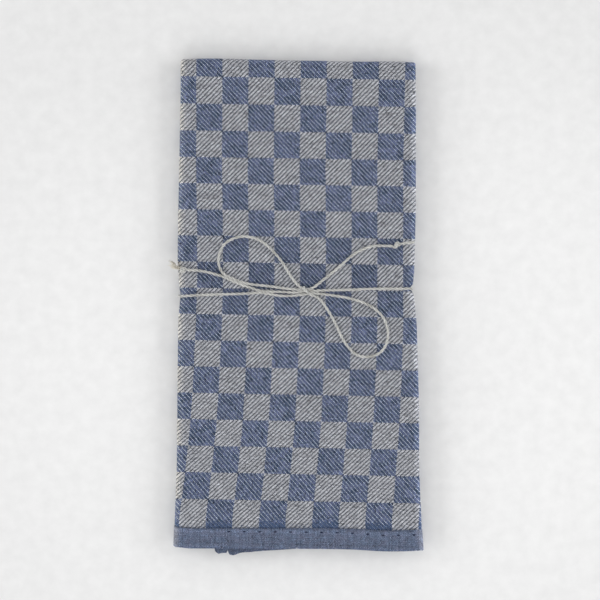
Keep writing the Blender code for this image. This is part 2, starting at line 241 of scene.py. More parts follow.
INNER_HEM = (
    (0.155, -168.0), (0.158, -172.1), (0.165, -173.1), (0.170, -173.7), (0.182, -173.3), (0.194, -173.2),
    (0.2035, -173.1), (0.2065, -171.2), (0.2105, -171.3), (0.214, -173.9), (0.219, -174.4),
    (0.231, -174.8), (0.243, -174.2), (0.255, -173.3), (0.268, -172.9), (0.305, -172.5), (0.33, -172.0),
    (0.355, -171.6), (0.38, -171.6), (0.43, -170.9), (0.48, -170.4), (0.53, -169.6), (0.7, -168.4),
    (1.0, -167.6),
)
OUTER_HEM = ((0.0, -167.2), (0.5, -168.0), (1.0, -168.6))
LOWER_HEM = ((0.0, -166.9), (0.4, -168.3), (1.0, -168.0))
BAND_MIDDLE_Y, BAND_SLOPE = 9.5 * MM, 0.0325
BAND_LIFT, BAND_FLAT, BAND_FADE = 2.3 * MM, 1.6 * MM, 8.0 * MM  # the groove under the towel
BAND_DIP, DIP_REACH, PINCH = 0.3 * MM, 11.0 * MM, 1.2 * MM  # the twine's pull on the top and the sides
NOTCHES, NOTCH_REACH = (0.3 * MM, 2.2 * MM), 2.4 * MM  # its bite into the left and the right edge
SWELLS = np.array((  # middle x and y, reach across and along, rise
    (-74.0, 60.0, 22.0, 150.0, -0.9), (-76.0, -90.0, 22.0, 120.0, -1.0), (10.0, 110.0, 60.0, 50.0, 0.45),
    (-20.0, -40.0, 45.0, 34.0, -0.3), (40.0, -95.0, 50.0, 45.0, 0.4), (-45.0, -140.0, 50.0, 22.0, 0.35),
    (62.0, 40.0, 30.0, 40.0, -0.3),
)) * MM
print("stack: %.1f mm" % (STACK / MM))

# %% [markdown]
# ## The cloth's top as a height
#
# The twine lies on the cloth, so we need the cloth's height before the cloth itself. The even
# stack is pressed into its real shape: slack at the long edges, softly swollen between, drawn
# down a little under the twine, and lifted over it where it passes below.

# %% Height of the cloth
BOW_PLACE = (6.6 * MM, 10.0 * MM)


def eased(share):
    """A smooth step from 0 to 1."""
    share = np.clip(share, 0.0, 1.0)
    return share * share * (3.0 - 2.0 * share)


def band_y(x):
    """Where the twine crosses the towel, at any x."""
    return BAND_MIDDLE_Y + BAND_SLOPE * x


def side_edge(y, column):
    """Left (column 1) or right (column 2) edge of the folded towel, drawn in by the twine."""
    edge = np.interp(y, SIDE_EDGES[:, 0], SIDE_EDGES[:, column])
    beside = y - band_y(edge)
    notch = NOTCHES[column - 1] * np.exp(-(beside / NOTCH_REACH) ** 2)
    pinch = PINCH * np.exp(-(beside / DIP_REACH) ** 2) + notch
    return edge + pinch if column == 1 else edge - pinch


def settled(x, y, z, in_hem=0.0):
    """Press a point of the even stack to its uneven height."""
    share = (z - CLOTH_THICKNESS / 2) / (STACK - CLOTH_THICKNESS)
    distance = np.abs(y - band_y(x))
    lift = BAND_LIFT * (1.0 - eased((distance - BAND_FLAT) / BAND_FADE))
    lift = lift + in_hem * (HEM_THICKNESS - CLOTH_THICKNESS) / 2
    swell = sum(rise * np.exp(-((x - mx) / rx) ** 2 - ((y - my) / ry) ** 2)
                for mx, my, rx, ry, rise in SWELLS)
    dip = BAND_DIP * np.exp(-(distance / DIP_REACH) ** 2)
    return z + lift * (1.0 - share) + (swell - dip) * share


def top_of_cloth(x, y):
    """Height of the towel's top face at any place."""
    return settled(x, y, STACK - CLOTH_THICKNESS / 2) + CLOTH_THICKNESS / 2


print("cloth top at the bow: %.2f mm" % (top_of_cloth(*BOW_PLACE) / MM))

# %% [markdown]
# ## The twine's route
#
# A bow is easiest to understand, and to make, as one line followed from end to end. Ours starts
# at the right-hand tail's loose end, goes through that tail's own small knot to the bow, round
# the left loop, through the half knot and away to the right as the band. It passes under the
# towel, comes back from the left, wraps over the front of the knot, goes round the right loop
# and leaves as the left-hand tail, to a second small knot and a frayed end. Each row is x, y and
# the height above twine that lies on the cloth, in mm.

# %% The route's points over the towel
TWINE_DIAMETER = 1.8 * MM
TWINE_RADIUS = TWINE_DIAMETER / 2
RIGHT_END = ((81.7, 44.7, 0), (78.8, 44.2, 0), (76.3, 44.0, 0), (73.5, 43.7, 0), (71.6, 43.4, 0))
TAIL_RIGHT = (
    (66.0, 41.7, 0), (60.8, 41.9, 0), (55.8, 42.1, 0), (51.4, 41.6, 0), (45.2, 39.4, 0), (38.9, 36.0, 0),
    (32.6, 30.5, 0), (26.4, 25.1, 0), (20.2, 20.2, 0), (13.9, 15.1, 0), (10.8, 12.7, 0.2),
    (8.8, 11.6, 0.9), (6.7, 11.1, 1.2), (4.6, 11.2, 0.9), (2.9, 12.0, 0.3),
)
LOOP_LEFT = (
    (1.8, 12.8, 0), (-0.8, 15.3, 0), (-3.9, 19.0, 0), (-6.4, 22.8, 0), (-8.9, 27.0, 0), (-11.8, 31.6, 0),
    (-15.2, 35.7, 0), (-19.7, 40.5, 0), (-24.7, 44.6, 0), (-30.9, 47.5, 0), (-37.2, 48.6, 0),
    (-43.5, 47.7, 0), (-47.9, 45.9, 0), (-52.1, 42.6, 0), (-54.7, 37.5, 0), (-55.8, 31.8, 0),
    (-54.7, 26.2, 0), (-51.6, 21.8, 0), (-46.6, 19.3, 0), (-40.3, 16.8, 0), (-34.1, 15.3, 0),
    (-21.6, 13.9, 0), (-14.2, 12.9, 0), (-8.9, 12.1, 0), (-3.5, 11.5, 0.3), (1.2, 11.2, 1.0),
)
BAND_RIGHT = (
    (4.6, 10.3, 1.2), (7.0, 10.1, 0.8), (9.8, 10.3, 0.2), (13.9, 10.6, 0), (20.2, 10.9, 0),
    (26.4, 11.0, 0), (38.9, 11.3, 0), (45.2, 11.6, 0), (57.7, 11.9, 0), (70.1, 12.0, 0), (76.0, 12.0, 0),
)
BAND_LEFT = (
    (-77.0, 7.0, 0), (-71.6, 7.4, 0), (-59.1, 7.9, 0), (-46.6, 8.2, 0), (-37.2, 8.5, 0), (-30.9, 9.0, 0),
    (-24.7, 9.5, 0), (-15.3, 9.9, 0), (-8.9, 9.6, 0), (-3.5, 9.3, 0), (0.5, 9.5, 0), (2.8, 10.3, 0.2),
    (4.2, 11.5, 0.4), (4.5, 12.6, 0.9), (3.8, 13.2, 1.9),
)
FRONT_WRAP = (
    (3.5, 12.6, 2.7), (4.5, 11.4, 3.0), (6.0, 10.0, 3.1), (7.7, 8.8, 2.8), (9.5, 7.8, 1.8),
    (11.3, 7.1, 0.7),
)
LOOP_RIGHT = (
    (14.4, 5.4, 0), (17.0, 2.7, 0), (20.8, -2.9, 0), (24.0, -8.3, 0), (26.5, -13.0, 0), (29.2, -19.0, 0),
    (31.9, -24.3, 0), (35.9, -29.7, 0), (39.9, -33.7, 0), (44.0, -35.4, 0), (49.3, -35.7, 0),
    (54.7, -34.4, 0), (58.7, -31.7, 0), (62.0, -26.3, 0), (63.1, -20.3, 0), (62.4, -14.9, 0),
    (60.1, -8.9, 0), (56.4, -4.3, 0), (53.3, -1.8, 0), (48.3, 1.1, 0), (42.0, 3.6, 0), (35.8, 5.3, 0),
    (29.5, 6.5, 0), (23.3, 7.4, 0), (17.0, 8.2, 0), (13.3, 8.7, 0), (10.5, 9.0, 0.2), (7.7, 8.8, 0.6),
    (4.9, 8.1, 0.1),
)
TAIL_LEFT = (
    (1.4, 7.7, 0), (-3.5, 7.1, 0), (-8.9, 6.9, 0), (-12.2, 7.0, 0), (-18.5, 8.1, 0.9), (-22.4, 9.0, 1.9),
    (-24.7, 9.6, 2.0), (-28.0, 10.7, 1.6), (-30.9, 12.0, 0.6), (-37.2, 14.0, 0), (-41.6, 15.7, 0),
    (-46.6, 17.9, 0), (-51.6, 20.2, 0), (-57.8, 22.1, 0), (-64.1, 23.7, 0), (-71.6, 24.9, 0),
    (-77.8, 25.2, 0),
)
LEFT_END = ((-84.1, 26.8, 0), (-86.7, 29.2, -0.3), (-88.5, 31.0, -0.7))
RIGHT_END_KNOT = (68.8, 42.7)
LEFT_END_KNOT = (-80.8, 25.0)


def lifted(route):
    """Route points in metres, at the height of twine lying on the cloth plus their own rise."""
    points = np.array(route, float) * MM
    points[:, 2] += top_of_cloth(points[:, 0], points[:, 1]) + TWINE_RADIUS
    return points


print("points by hand:", sum(len(r) for r in (RIGHT_END, TAIL_RIGHT, LOOP_LEFT, BAND_RIGHT, BAND_LEFT,
                                             FRONT_WRAP, LOOP_RIGHT, TAIL_LEFT, LEFT_END)))

# %% [markdown]
# ## Round the towel, and the two small knots
#
# The band bends round each folded side and runs under the towel, a hair above the table, in the
# groove that it presses there. Each tail ends in an overhand knot. Its shape is a trefoil, the
# simplest closed knot, cut open at one lobe: the twine comes in at one side of the cut and
# leaves at the other.

# %% The band's underside and an overhand knot
FLOOR_GAP = 0.3 * MM
CORNER_ANGLES = (90.0, 60.0, 30.0, 0.0)
CORNER_GAP, CORNER_RISE = 0.15 * MM, 0.3 * MM  # the bend's way off the cloth's side and its top
RIGHT_KNOT_SIZE = (0.26, 0.74, 0.42)  # mm across and along for each of the trefoil's 6 units, and its lean
LEFT_KNOT_SIZE = (0.48, 0.6, 0.0)
KNOT_RISE = 0.5 * MM
KNOT_SEAT = 0.8  # of the twine's radius: the knots are pressed into the cloth
KNOT_OPENING = 0.4  # radians cut from the trefoil on each side
KNOT_STEPS = 20
UNDER_POINTS = 8


def band_corner(column, sign, fold):
    """The band's bend round one side, from the top down."""
    edge = side_edge(band_y(side_edge(0.0, column)), column)
    inner = fold + CLOTH_THICKNESS / 2
    bend = inner + CORNER_GAP + TWINE_RADIUS
    middle_x, y = edge - sign * inner, band_y(edge)
    top = top_of_cloth(middle_x, y) + CORNER_RISE + TWINE_RADIUS
    low = TWINE_RADIUS + FLOOR_GAP
    angles = [math.radians(angle) for angle in CORNER_ANGLES]
    upper = [(bend * math.cos(a), top - bend + bend * math.sin(a)) for a in angles]
    lower = [(bend * math.cos(a), low + bend - bend * math.sin(a)) for a in reversed(angles)]
    return np.array([(middle_x + sign * out, y, z) for out, z in upper + lower])


def overhand(centre, size, way):
    """An overhand knot at a centre, entered from +X and left towards -X, lobes up (1) or down (-1)."""
    t = np.linspace(math.pi + KNOT_OPENING, 3 * math.pi - KNOT_OPENING, KNOT_STEPS)
    x = np.sin(t) + 2 * np.sin(2 * t)
    y = (np.cos(t) - 2 * np.cos(2 * t)) * way
    across, along, lean = size
    cx, cy = centre[0] * MM, centre[1] * MM
    z = top_of_cloth(cx, cy) + TWINE_RADIUS * KNOT_SEAT + KNOT_RISE * (1 - np.sin(3 * t))
    return np.stack([cx + (x * across + y * along * lean) * MM, cy + y * along * MM, z], 1)


down = band_corner(2, 1, PLY_PITCH / 2)
up = band_corner(1, -1, PLY_PITCH)[::-1]
under_x = np.linspace(down[-1, 0], up[0, 0], UNDER_POINTS + 2)[1:-1]
under = np.stack([under_x, band_y(under_x), np.full(UNDER_POINTS, TWINE_RADIUS + FLOOR_GAP)], 1)
route = np.concatenate([
    lifted(RIGHT_END), overhand(RIGHT_END_KNOT, RIGHT_KNOT_SIZE, 1), lifted(TAIL_RIGHT), lifted(LOOP_LEFT),
    lifted(BAND_RIGHT), down, under, up, lifted(BAND_LEFT), lifted(FRONT_WRAP), lifted(LOOP_RIGHT),
    lifted(TAIL_LEFT), overhand(LEFT_END_KNOT, LEFT_KNOT_SIZE, -1), lifted(LEFT_END),
])
print("route:", len(route), "points")

# %% [markdown]
# ## A smooth line that rests on itself
#
# A smooth curve through the points still lets strands pass through each other where they cross.
# Blender's cloth or rigid bodies could settle them, but a twine this thin slips through. We do
# it directly: strands that are too close push each other apart, the line keeps itself smooth,
# and each point sinks until it meets the cloth or the strand below.

# %% A smooth line through the route
TWINE_STEP = 0.55 * MM
SPAN_STEPS = 24  # points of the curve between two of the route's


def smooth_line(points, step):
    """An evenly spaced smooth curve through points that may be unevenly spaced."""
    spans = np.linalg.norm(np.diff(points, axis=0), axis=1)
    slopes = np.diff(points, axis=0) / spans[:, None]
    weighted = slopes[1:] * spans[:-1, None] + slopes[:-1] * spans[1:, None]
    inner = weighted / (spans[1:] + spans[:-1])[:, None]
    slopes = np.concatenate([slopes[:1], inner, slopes[-1:]])
    t = np.linspace(0, 1, SPAN_STEPS, endpoint=False)[None, :, None]
    h, a, b = spans[:, None, None], points[:-1, None], points[1:, None]
    curve = ((2 * t**3 - 3 * t**2 + 1) * a + (t**3 - 2 * t**2 + t) * h * slopes[:-1, None]
             + (3 * t**2 - 2 * t**3) * b + (t**3 - t**2) * h * slopes[1:, None]).reshape(-1, 3)
    return evenly_spaced(np.concatenate([curve, points[-1:]]), step)


def evenly_spaced(line, step):
    """The same line with its points a step apart."""
    along = np.concatenate([[0.0], np.cumsum(np.linalg.norm(np.diff(line, axis=0), axis=1))])
    places = np.linspace(0.0, along[-1], round(along[-1] / step) + 1)
    return np.stack([np.interp(places, along, line[:, k]) for k in range(3)], 1)


line = smooth_line(route, TWINE_STEP)
print("smooth line: %d points" % len(line))

# %% Let the line settle
SETTLE_ROUNDS = 160
STRAND_SPACING = 0.86 * TWINE_DIAMETER  # plies bed into each other a little
SAME_STRAND = 2.6 * TWINE_DIAMETER  # points nearer than this along the twine don't push each other
NEAR = 5.0 * MM
SINK = 0.05 * MM
PUSH, RETURN = 1.3, 0.05  # of the overlap, and of the way back to the route, in each round
SMOOTHING, SMOOTHING_WAYS = 0.22, (1, 1, 1.6)  # stronger in height
BEDDED = 0.94  # of the twine's radius above the cloth
HELD_KNOT = 2.6 * MM  # the small knots keep their shape within this
HELD_SIDE = 79.0 * MM  # what lies further out stays
UNDER_TOP = 9.0 * MM  # what lies lower goes round or under the towel, and stays too


def settle(line, held):
    """Push crossing strands apart and let the line sink onto the cloth; held points stay."""
    line, start, free = line.copy(), line.copy(), ~held
    count = len(line)
    first, second = np.triu_indices(count, k=round(SAME_STRAND / TWINE_STEP))
    close = np.abs(line[first] - line[second]).max(1) < NEAR
    first, second = first[close], second[close]
    for _ in range(SETTLE_ROUNDS):
        gap = line[first] - line[second]
        distance = np.linalg.norm(gap, axis=1)
        touching = distance < STRAND_SPACING
        i, j = first[touching], second[touching]
        push = gap[touching] * ((STRAND_SPACING / np.maximum(distance[touching], 1e-6) - 1) / 2)[:, None]
        moved, hits = np.zeros_like(line), np.zeros(count)
        np.add.at(moved, i, push)
        np.add.at(moved, j, -push)
        np.add.at(hits, i, 1)
        np.add.at(hits, j, 1)
        step = moved / np.maximum(hits, 1)[:, None] * PUSH
        step[1:-1] += SMOOTHING * (line[2:] + line[:-2] - 2 * line[1:-1]) * SMOOTHING_WAYS
        step[:, :2] += RETURN * (start - line)[:, :2]
        step[:, 2] -= SINK
        line[free] += step[free]
        lowest = top_of_cloth(line[:, 0], line[:, 1]) + TWINE_RADIUS * BEDDED
        line[free, 2] = np.maximum(line[free, 2], lowest[free])
    return line


def from_knots(points):
    """How far points lie from the nearer small knot, seen from above."""
    knots = np.array([RIGHT_END_KNOT, LEFT_END_KNOT]) * MM
    return np.linalg.norm(points[:, None, :2] - knots[None], axis=2).min(1)


held = (from_knots(line) < HELD_KNOT) | (np.abs(line[:, 0]) > HELD_SIDE) | (line[:, 2] < UNDER_TOP)
line = settle(line, held)
line[:, 2] = np.maximum(line[:, 2], TWINE_RADIUS + FLOOR_GAP)
line = evenly_spaced(line, TWINE_STEP)
twine_length = float(np.linalg.norm(np.diff(line, axis=0), axis=1).sum())
print("twine: %.0f mm long, %d points" % (twine_length / MM, len(line)))

# %% [markdown]
# ## Twisting the two plies
#
# The twine is two plies of linen laid round each other, one turn in 7 mm. We could model one
# turn and repeat it along the line, but it would shear in the bends. Instead Geometry Nodes
# sweep a pair of small circles along the line while it rolls, so that the plies wind round each
# other. Hand-spun flax is uneven, so each point also has its own thickness.

# %% Helpers for Geometry Nodes
def new_tree(name, inputs):
    """Start a tree with geometry in and out and the named inputs; inputs map a name to a socket kind."""
    tree = bpy.data.node_groups.new(name, "GeometryNodeTree")
    tree.interface.new_socket("Geometry", in_out="INPUT", socket_type="NodeSocketGeometry")
    tree.interface.new_socket("Geometry", in_out="OUTPUT", socket_type="NodeSocketGeometry")
    for label, kind in inputs.items():
        tree.interface.new_socket(label, in_out="INPUT", socket_type=kind)
    return tree, add(tree, "NodeGroupInput").outputs


def end_tree(tree, geometry, material):
    """Close a tree with Realize Instances and Set Material, and hand it back."""
    real = add(tree, "GeometryNodeRealizeInstances", {"Geometry": geometry})
    dressed = add(tree, "GeometryNodeSetMaterial", {"Geometry": real, "Material": material})
    add(tree, "NodeGroupOutput", {"Geometry": dressed})
    return tree


def plain_mesh(carrier):
    """The shape of an object after its modifiers, as a plain mesh of the same name; the object goes."""
    bpy.context.view_layer.update()
    graph = bpy.context.evaluated_depsgraph_get()
    shape = carrier.evaluated_get(graph)
    mesh = bpy.data.meshes.new_from_object(shape, preserve_all_data_layers=True, depsgraph=graph)
    mesh.name = carrier.name
    bpy.data.objects.remove(carrier)
    print("%s: %d faces" % (mesh.name, len(mesh.polygons)))
    return mesh


def grow(name, mesh, tree, values):
    """Run a tree on a mesh and keep the outcome as a plain mesh."""
    carrier = bpy.data.objects.new(name, mesh)
    bpy.context.scene.collection.objects.link(carrier)
    modifier = carrier.modifiers.new("nodes", "NODES")
    modifier.node_group = tree
    for item in tree.interface.items_tree:
        if item.in_out == "INPUT" and item.name in values:
            modifier[item.identifier] = values[item.name]
    return plain_mesh(carrier)


def note_numbers(mesh, **floats):
    """Give each point of a mesh its own named numbers."""
    for label, values in floats.items():
        numbers = np.ravel(values).astype(np.float32)
        mesh.attributes.new(label, "FLOAT", "POINT").data.foreach_set("value", numbers)


def line_mesh(name, points, lowest=-1.0, **floats):
    """A chain of edges through points, without those that lie below a height, and with named numbers."""
    mesh = bpy.data.meshes.new(name)
    links = [(i, i + 1) for i in range(len(points) - 1) if min(points[i][2], points[i + 1][2]) > lowest]
    mesh.from_pydata([tuple(p) for p in points], links, [])
    note_numbers(mesh, **floats)
    return mesh


# %% Twist the plies along the line
PLY_LAY = 7.2 * MM  # one full turn of the plies
PLY_RADIUS = 0.59 * MM
PLY_OFFSET = 0.42 * MM
PLY_SIDES = 9

tree, given = new_tree("twisted plies", {
    "Ply lay": "NodeSocketFloat", "Ply radius": "NodeSocketFloat", "Ply offset": "NodeSocketFloat",
    "Ply sides": "NodeSocketInt", "Material": "NodeSocketMaterial",
})
path = add(tree, "GeometryNodeMeshToCurve", {"Mesh": given["Geometry"]})
thick = add(tree, "GeometryNodeInputNamedAttribute", {"Name": "thick"}, data_type="FLOAT")
path = add(tree, "GeometryNodeSetCurveRadius", {"Curve": path, "Radius": thick})
along = add(tree, "GeometryNodeInputNamedAttribute", {"Name": "along"}, data_type="FLOAT")
turns = add(tree, "ShaderNodeMath", {0: along, 1: given["Ply lay"]}, operation="DIVIDE")
roll = add(tree, "ShaderNodeMath", {0: turns, 1: 2 * math.pi}, operation="MULTIPLY")
path = add(tree, "GeometryNodeSetCurveTilt", {"Curve": path, "Tilt": roll})
circle = add(tree, "GeometryNodeCurvePrimitiveCircle", {
    "Resolution": given["Ply sides"], "Radius": given["Ply radius"],
}, mode="RADIUS")
circle = add(tree, "GeometryNodeStoreNamedAttribute", {
    "Geometry": circle, "Name": "around", "Value": add(tree, "GeometryNodeSplineParameter"),
}, data_type="FLOAT", domain="POINT")
offset = add(tree, "ShaderNodeCombineXYZ", {"X": given["Ply offset"]})
ply = add(tree, "GeometryNodeTransform", {"Geometry": circle, "Translation": offset})
other_ply = add(tree, "GeometryNodeTransform", {"Geometry": ply, "Rotation": (0.0, 0.0, math.pi)})
pair = add(tree, "GeometryNodeJoinGeometry", {"Geometry": ply})
tree.links.new(other_ply.outputs[0], pair.inputs[0])
plies = add(tree, "GeometryNodeCurveToMesh", {"Curve": path, "Profile Curve": pair, "Fill Caps": True})
ply_tree = end_tree(tree, plies, given["Material"])
print("twist: %.1f turns" % (twine_length / PLY_LAY))

# %% [markdown]
# ## The twine's finish
#
# Undyed linen twine is ecru, matt and slightly waxy, with flax fibres running along each ply.
# We draw the fibres as noise stretched along the twine and wound a little round it, with a few
# brown specks of straw, and let the same noise raise them. Where one ply lies against the other
# shade is painted into the colour, and the left end is soiled from handling.

# %% Linen twine material
FIBRE_WIDTH = 0.14 * MM  # coarser than flax, so that it shows
FIBRE_LENGTH = 4.0 * MM
FIBRE_WINDING = 1.6  # turns round the ply in one fibre length
FIBRE_TONES = ((0.32, "#9a9a96"), (0.58, "#d9d9d6"))  # amount of noise, colour there
SLUB_SCALE = 0.55  # slubs in one fibre length
GROOVE_PAINTED_SHADE = 0.45
SLUB_TONES = (1.18, 0.76)

twine_finish, tree = new_material("undyed_linen_twine")
# Bast fibre, spun and plied: no gloss of its own, a soft sheen where the fibres lie side by side
along, around, dark_end = [
    add(tree, "ShaderNodeAttribute", attribute_name=label).outputs["Fac"]
    for label in ("along", "around", "soiled")
]
far = add(tree, "ShaderNodeMath", {0: along, 1: 1 / FIBRE_LENGTH}, operation="MULTIPLY")
wound = add(tree, "ShaderNodeMath", {0: far, 1: FIBRE_WINDING, 2: around}, operation="MULTIPLY_ADD")
fibres_round = 2 * math.pi * PLY_RADIUS / FIBRE_WIDTH
turn = add(tree, "ShaderNodeMath", {0: wound, 1: fibres_round}, operation="MULTIPLY")
fibre_place = add(tree, "ShaderNodeCombineXYZ", {"X": turn, "Y": far})
fibres = add(tree, "ShaderNodeTexNoise", {
    "Vector": fibre_place, "Scale": 1.0, "Detail": 3.0, "Roughness": 0.6,
})
slub_place = add(tree, "ShaderNodeCombineXYZ", {"X": far, "Y": around})
slubs = add(tree, "ShaderNodeTexNoise", {"Vector": slub_place, "Scale": SLUB_SCALE, "Detail": 2.0})
tone = add(tree, "ShaderNodeValToRGB", {"Fac": fibres})
for stop, (amount, hex_colour) in zip(tone.color_ramp.elements, FIBRE_TONES):
    stop.position = amount
    stop.color = linear(hex_colour)
straw = add(tree, "ShaderNodeMapRange", {"Value": slubs, "From Min": 0.58, "From Max": 0.72, "To Max": 0.25})
flecked = add(tree, "ShaderNodeMix", {"Factor": straw, "A": tone, "B": "#a0987f"}, **COLOURS)
handled = add(tree, "ShaderNodeMix", {"Factor": dark_end, "A": flecked, "B": "#83704f"}, **COLOURS)
# painted shade: the colour darkens on the inner side of each ply, where it lies against the other
turned = add(tree, "ShaderNodeMath", {0: around, 1: 2 * math.pi}, operation="MULTIPLY")
outward = add(tree, "ShaderNodeMath", {0: turned}, operation="COSINE")
groove = add(tree, "ShaderNodeMapRange", {
    "Value": outward, "From Min": -0.9, "From Max": 0.2, "To Min": GROOVE_PAINTED_SHADE,
})
mottled = add(tree, "ShaderNodeMapRange", {
    "Value": slubs, "From Min": 0.3, "From Max": 0.7, "To Min": SLUB_TONES[0], "To Max": SLUB_TONES[1],
})
darkened = add(tree, "ShaderNodeMath", {0: groove, 1: mottled}, operation="MULTIPLY")
colour = add(tree, "ShaderNodeMix", {"Factor": 1.0, "A": handled, "B": darkened}, **TIMES)
raised = add(tree, "ShaderNodeBump", {"Height": fibres, "Strength": 0.7, "Distance": 0.1 * MM})
end_material(twine_finish, {
    "Base Color": colour, "Normal": raised, "Roughness": 0.82, "Specular IOR Level": 0.3,
    "Sheen Weight": 0.15, "Sheen Roughness": 0.5,
})

# %% How thick and how soiled the twine is
SOILED_LENGTH, SOILED_FADE, SOILED_SHARE = 9.0 * MM, 2.0 * MM, 0.5
STRETCH_THICKNESS = (  # share of the twine's length, thickness there
    (0.0, 1.0), (0.03, 1.18), (0.1, 1.24), (0.12, 1.0), (0.15, 0.93), (0.28, 0.93), (0.3, 1.14),
    (0.37, 1.1), (0.5, 1.0), (0.62, 0.94), (0.65, 0.8), (0.675, 0.8), (0.69, 0.96), (0.75, 0.93),
    (0.985, 0.95), (0.99, 0.7), (1.0, 0.45),
)
UNEVEN = ((0.07, 9.0 * MM), (0.05, 2.2 * MM))  # share thicker or thinner, over what length
KNOT_REACH, KNOT_SQUEEZE = 2.4 * MM, 0.1
BOW_MIDDLE = np.array((-2.0, 10.5)) * MM
BOW_REACH, BOW_SQUEEZE = 16.0 * MM, 0.13


def drift(places, period, rng):
    """Smooth random numbers, about -1 to 1, that change over a period."""
    knots = np.arange(places.min() - 2 * period, places.max() + 3 * period, period)
    return np.interp(places, knots, rng.uniform(-1.0, 1.0, len(knots)))


def nearness(distance, reach):
    """1 up to about a reach away, then quickly 0."""
    return np.exp(-((distance / reach) ** 4))


rng = np.random.default_rng(7)
line_along = np.arange(len(line)) * (twine_length / (len(line) - 1))
thickness = np.interp(line_along / twine_length, *np.array(STRETCH_THICKNESS).T)
thickness *= 1 + sum(much * drift(line_along, period, rng) for much, period in UNEVEN)
in_bow = nearness(np.linalg.norm(line[:, :2] - BOW_MIDDLE, axis=1), BOW_REACH)
in_bow[line[:, 2] < UNDER_TOP] = 0.0
thickness *= 1 - KNOT_SQUEEZE * nearness(from_knots(line), KNOT_REACH) - BOW_SQUEEZE * in_bow
soiled = SOILED_SHARE * eased((line_along - twine_length + SOILED_LENGTH) / SOILED_FADE)
print("thickness: %.2f to %.2f" % (thickness.min(), thickness.max()))

# %% Lay the twine
carrier = line_mesh("twine_line", line, along=line_along, thick=thickness, soiled=soiled)
twine_mesh = grow("twine", carrier, ply_tree, {
    "Ply lay": PLY_LAY, "Ply radius": PLY_RADIUS, "Ply offset": PLY_OFFSET, "Ply sides": PLY_SIDES,
    "Material": twine_finish,
})
twine_mesh.shade_smooth()
twine = add_piece("twine", twine_mesh, twine_finish)
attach(twine, "root")
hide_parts("string_band", "bow_knot", "bow_loop_left", "bow_loop_right", "tail_left", "tail_right",
            "end_knot_left", "end_knot_right", "tail_end_left", "tail_end_right")

# %% [markdown]
# ## Fuzz and the frayed end
#
# Flax twine is hairy: short fibre ends stand out along it, and the left end has come apart into
# a small brush. A hair system would do this on a body, but here one small tree of Geometry
# Nodes is enough. It sets curved fibres along a line, turned at random, and we use it again
# later for the loose threads of the cloth.

# %% A tree that sets fibres along a line
FIBRE_SIDES, FIBRE_STEPS = 3, 4
FIBRE_BEND = 0.2  # of its reach, for the control point at half its length
FIBRE_SIZES = (0.45, 1.25)  # the least and the most, as a share of the given size

tree, given = new_tree("fibres along a line", {
    "Spacing": "NodeSocketFloat", "Start offset": "NodeSocketFloat", "Length": "NodeSocketFloat",
    "Radius": "NodeSocketFloat", "Spread": "NodeSocketFloat", "Seed": "NodeSocketInt",
    "Material": "NodeSocketMaterial",
})
path = add(tree, "GeometryNodeMeshToCurve", {"Mesh": given["Geometry"]})
points = add(tree, "GeometryNodeCurveToPoints", {"Curve": path, "Length": given["Spacing"]}, mode="LENGTH")
reach = add(tree, "ShaderNodeMath", {0: given["Length"], 1: given["Spread"]}, operation="MULTIPLY")
half_length = add(tree, "ShaderNodeMath", {0: given["Length"], 1: 0.5}, operation="MULTIPLY")
bent_reach = add(tree, "ShaderNodeMath", {
    0: reach, 1: FIBRE_BEND, 2: given["Start offset"],
}, operation="MULTIPLY_ADD")
full_reach = add(tree, "ShaderNodeMath", {0: reach, 1: given["Start offset"]}, operation="ADD")
hair = add(tree, "GeometryNodeCurveQuadraticBezier", {
    "Resolution": FIBRE_STEPS,
    "Start": add(tree, "ShaderNodeCombineXYZ", {"X": given["Start offset"]}),
    "Middle": add(tree, "ShaderNodeCombineXYZ", {"X": bent_reach, "Z": half_length}),
    "End": add(tree, "ShaderNodeCombineXYZ", {"X": full_reach, "Z": given["Length"]}),
})
section = add(tree, "GeometryNodeCurvePrimitiveCircle", {
    "Resolution": FIBRE_SIDES, "Radius": given["Radius"],
}, mode="RADIUS")
hair = add(tree, "GeometryNodeCurveToMesh", {"Curve": hair, "Profile Curve": section, "Fill Caps": True})
facing = add(tree, "FunctionNodeAlignRotationToVector", {"Vector": points.outputs["Tangent"]}, axis="Z")
roll = add(tree, "FunctionNodeRandomValue", {
    "Min": 0.0, "Max": 2 * math.pi, "Seed": given["Seed"],
}, data_type="FLOAT")
turned = add(tree, "ShaderNodeCombineXYZ", {"Z": roll})
rotation = add(tree, "FunctionNodeRotateRotation", {
    "Rotation": facing, "Rotate By": turned,
}, rotation_space="LOCAL")
size = add(tree, "FunctionNodeRandomValue", {
    "Min": FIBRE_SIZES[0], "Max": FIBRE_SIZES[1], "Seed": given["Seed"],
}, data_type="FLOAT")
hairs = add(tree, "GeometryNodeInstanceOnPoints", {
    "Points": points, "Instance": hair, "Rotation": rotation, "Scale": size,
})
fibre_tree = end_tree(tree, hairs, given["Material"])


def grow_fibres(name, carrier, finish, spacing, start, length, radius, spread, seed):
    """Set fibres along a carrier line and make them a piece; the four lengths are in mm."""
    mesh = grow(name, carrier, fibre_tree, {
        "Spacing": spacing * MM, "Start offset": start * MM, "Length": length * MM, "Radius": radius * MM,
        "Spread": spread, "Seed": seed, "Material": finish,
    })
    return add_piece(name, mesh, finish)


# %% [markdown]
# Fibres that have come loose are no longer wound tight or soiled. They catch light from all
# sides, so they look paler than the twine.

# %% Loose fibre finish
COMBED_GRAIN = 1.2 * MM

combed, tree = new_material("combed_linen_fibre")
